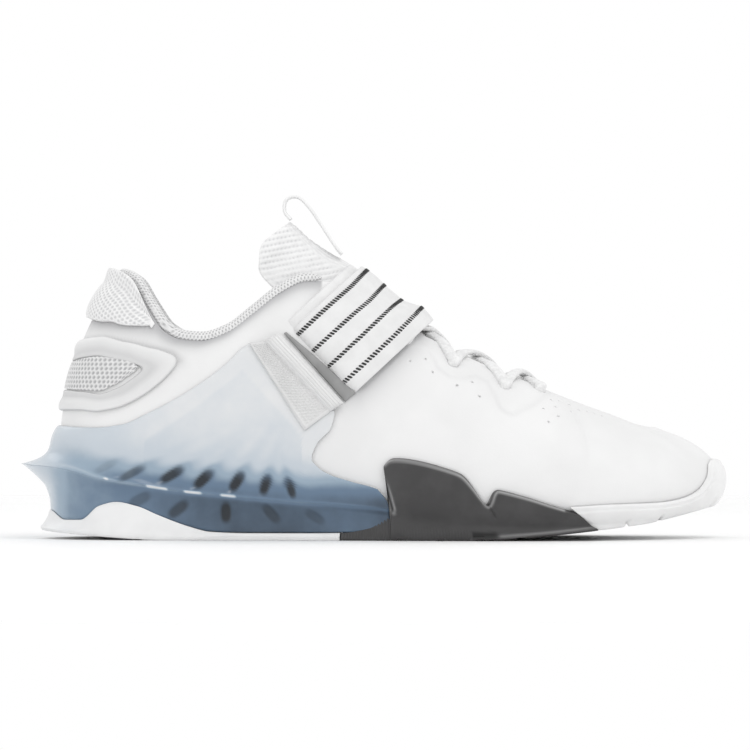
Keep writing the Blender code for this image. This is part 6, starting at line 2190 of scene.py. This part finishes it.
def make_stage():
    bpy.ops.mesh.primitive_circle_add(vertices=96, radius=3.0, fill_type="NGON", location=(0, 0, 0))
    floor = bpy.context.object
    floor.name = "floor"
    f = Finish("pale_floor", 0.6)
    f.between(3.0, grey(0.96), grey(0.98))
    f.relief(f.noise(60, 3), 0.02, 0.5 * MM)
    distance = f.node("VectorMath")
    distance.operation = "LENGTH"
    f.links.new(f.place, distance.inputs[0])
    fade = f.node("MapRange", From_Min=0.35, From_Max=1.1, To_Min=1.0, To_Max=0.0)
    fade.interpolation_type = "SMOOTHSTEP"
    f.links.new(distance.outputs["Value"], fade.inputs["Value"])
    f.links.new(fade.outputs["Result"], f.shader.inputs["Alpha"])
    floor.data.materials.append(f.material)


def area_light(name, place, height, size, power):
    light = bpy.data.lights.new(name, "AREA")
    light.shape = "RECTANGLE"
    light.size, light.size_y = size
    light.energy = power
    obj = placed(name, light)
    obj.location = place
    way = Vector((0, 0, height)) - Vector(place)
    obj.rotation_euler = way.to_track_quat("-Z", "Y").to_euler()


# The camera looks level from far off; the picture is this wide where the shoe stands.
CAMERA_DISTANCE = 2.5
CAMERA_HEIGHT = 0.0701
PICTURE_WIDTH = 0.3225
SENSOR_WIDTH = 36
ROUND_LIGHT = 0.92


def make_camera():
    data = bpy.data.cameras.new("camera")
    data.sensor_width = SENSOR_WIDTH
    data.lens = SENSOR_WIDTH * CAMERA_DISTANCE / PICTURE_WIDTH
    data.clip_end = 50
    camera = placed("camera", data)
    camera.location = (0, -CAMERA_DISTANCE, CAMERA_HEIGHT)
    camera.rotation_euler = (math.radians(90), 0, 0)
    bpy.context.scene.camera = camera


def make_world():
    """A white backdrop, from which the shoe gets a little less light from all round."""
    world = bpy.data.worlds.new("studio")
    world.use_nodes = True
    nodes = world.node_tree.nodes
    background = nodes["Background"]
    backdrop = nodes.new("ShaderNodeBackground")
    for node, strength in ((background, ROUND_LIGHT), (backdrop, 1.0)):
        node.inputs["Color"].default_value = (1, 1, 1, 1)
        node.inputs["Strength"].default_value = strength
    ray = nodes.new("ShaderNodeLightPath")
    mix = nodes.new("ShaderNodeMixShader")
    link = world.node_tree.links.new
    link(ray.outputs["Is Camera Ray"], mix.inputs[0])
    link(background.outputs[0], mix.inputs[1])
    link(backdrop.outputs[0], mix.inputs[2])
    link(mix.outputs[0], nodes["World Output"].inputs["Surface"])
    bpy.context.scene.world = world


# Each light's name, place, the height on the centre line that it faces, its size and its power.
LIGHTS = (
    ("key", (0.5, -0.9, 1.5), 0.05, (0.9, 0.6), 5.2),
    ("rear", (-0.9, 0.8, 0.9), 0.06, (0.9, 0.6), 1.2),
    ("side", (-1.3, -0.9, 0.35), 0.06, (0.5, 0.9), 0.5),
)

make_camera()
make_world()
make_stage()
for light in LIGHTS:
    area_light(*light)
bpy.context.scene.view_settings.view_transform = "Standard"

UPPER = make_upper()
make_lining()
make_insole()
WEDGE_PIECE = make_wedge()
make_heel_sole()
make_forefoot()
make_toe_rand()
ROLL = make_collar_roll()
TONGUE = make_tongue(tree_of([UPPER, ROLL]))
make_heel_pad()
make_counter()
make_laces(tree_of([UPPER, TONGUE]))
make_strap()
make_strap_lining()
make_slot()
make_keeper(tree_of([UPPER, WEDGE_PIECE]))
make_pull_loop()
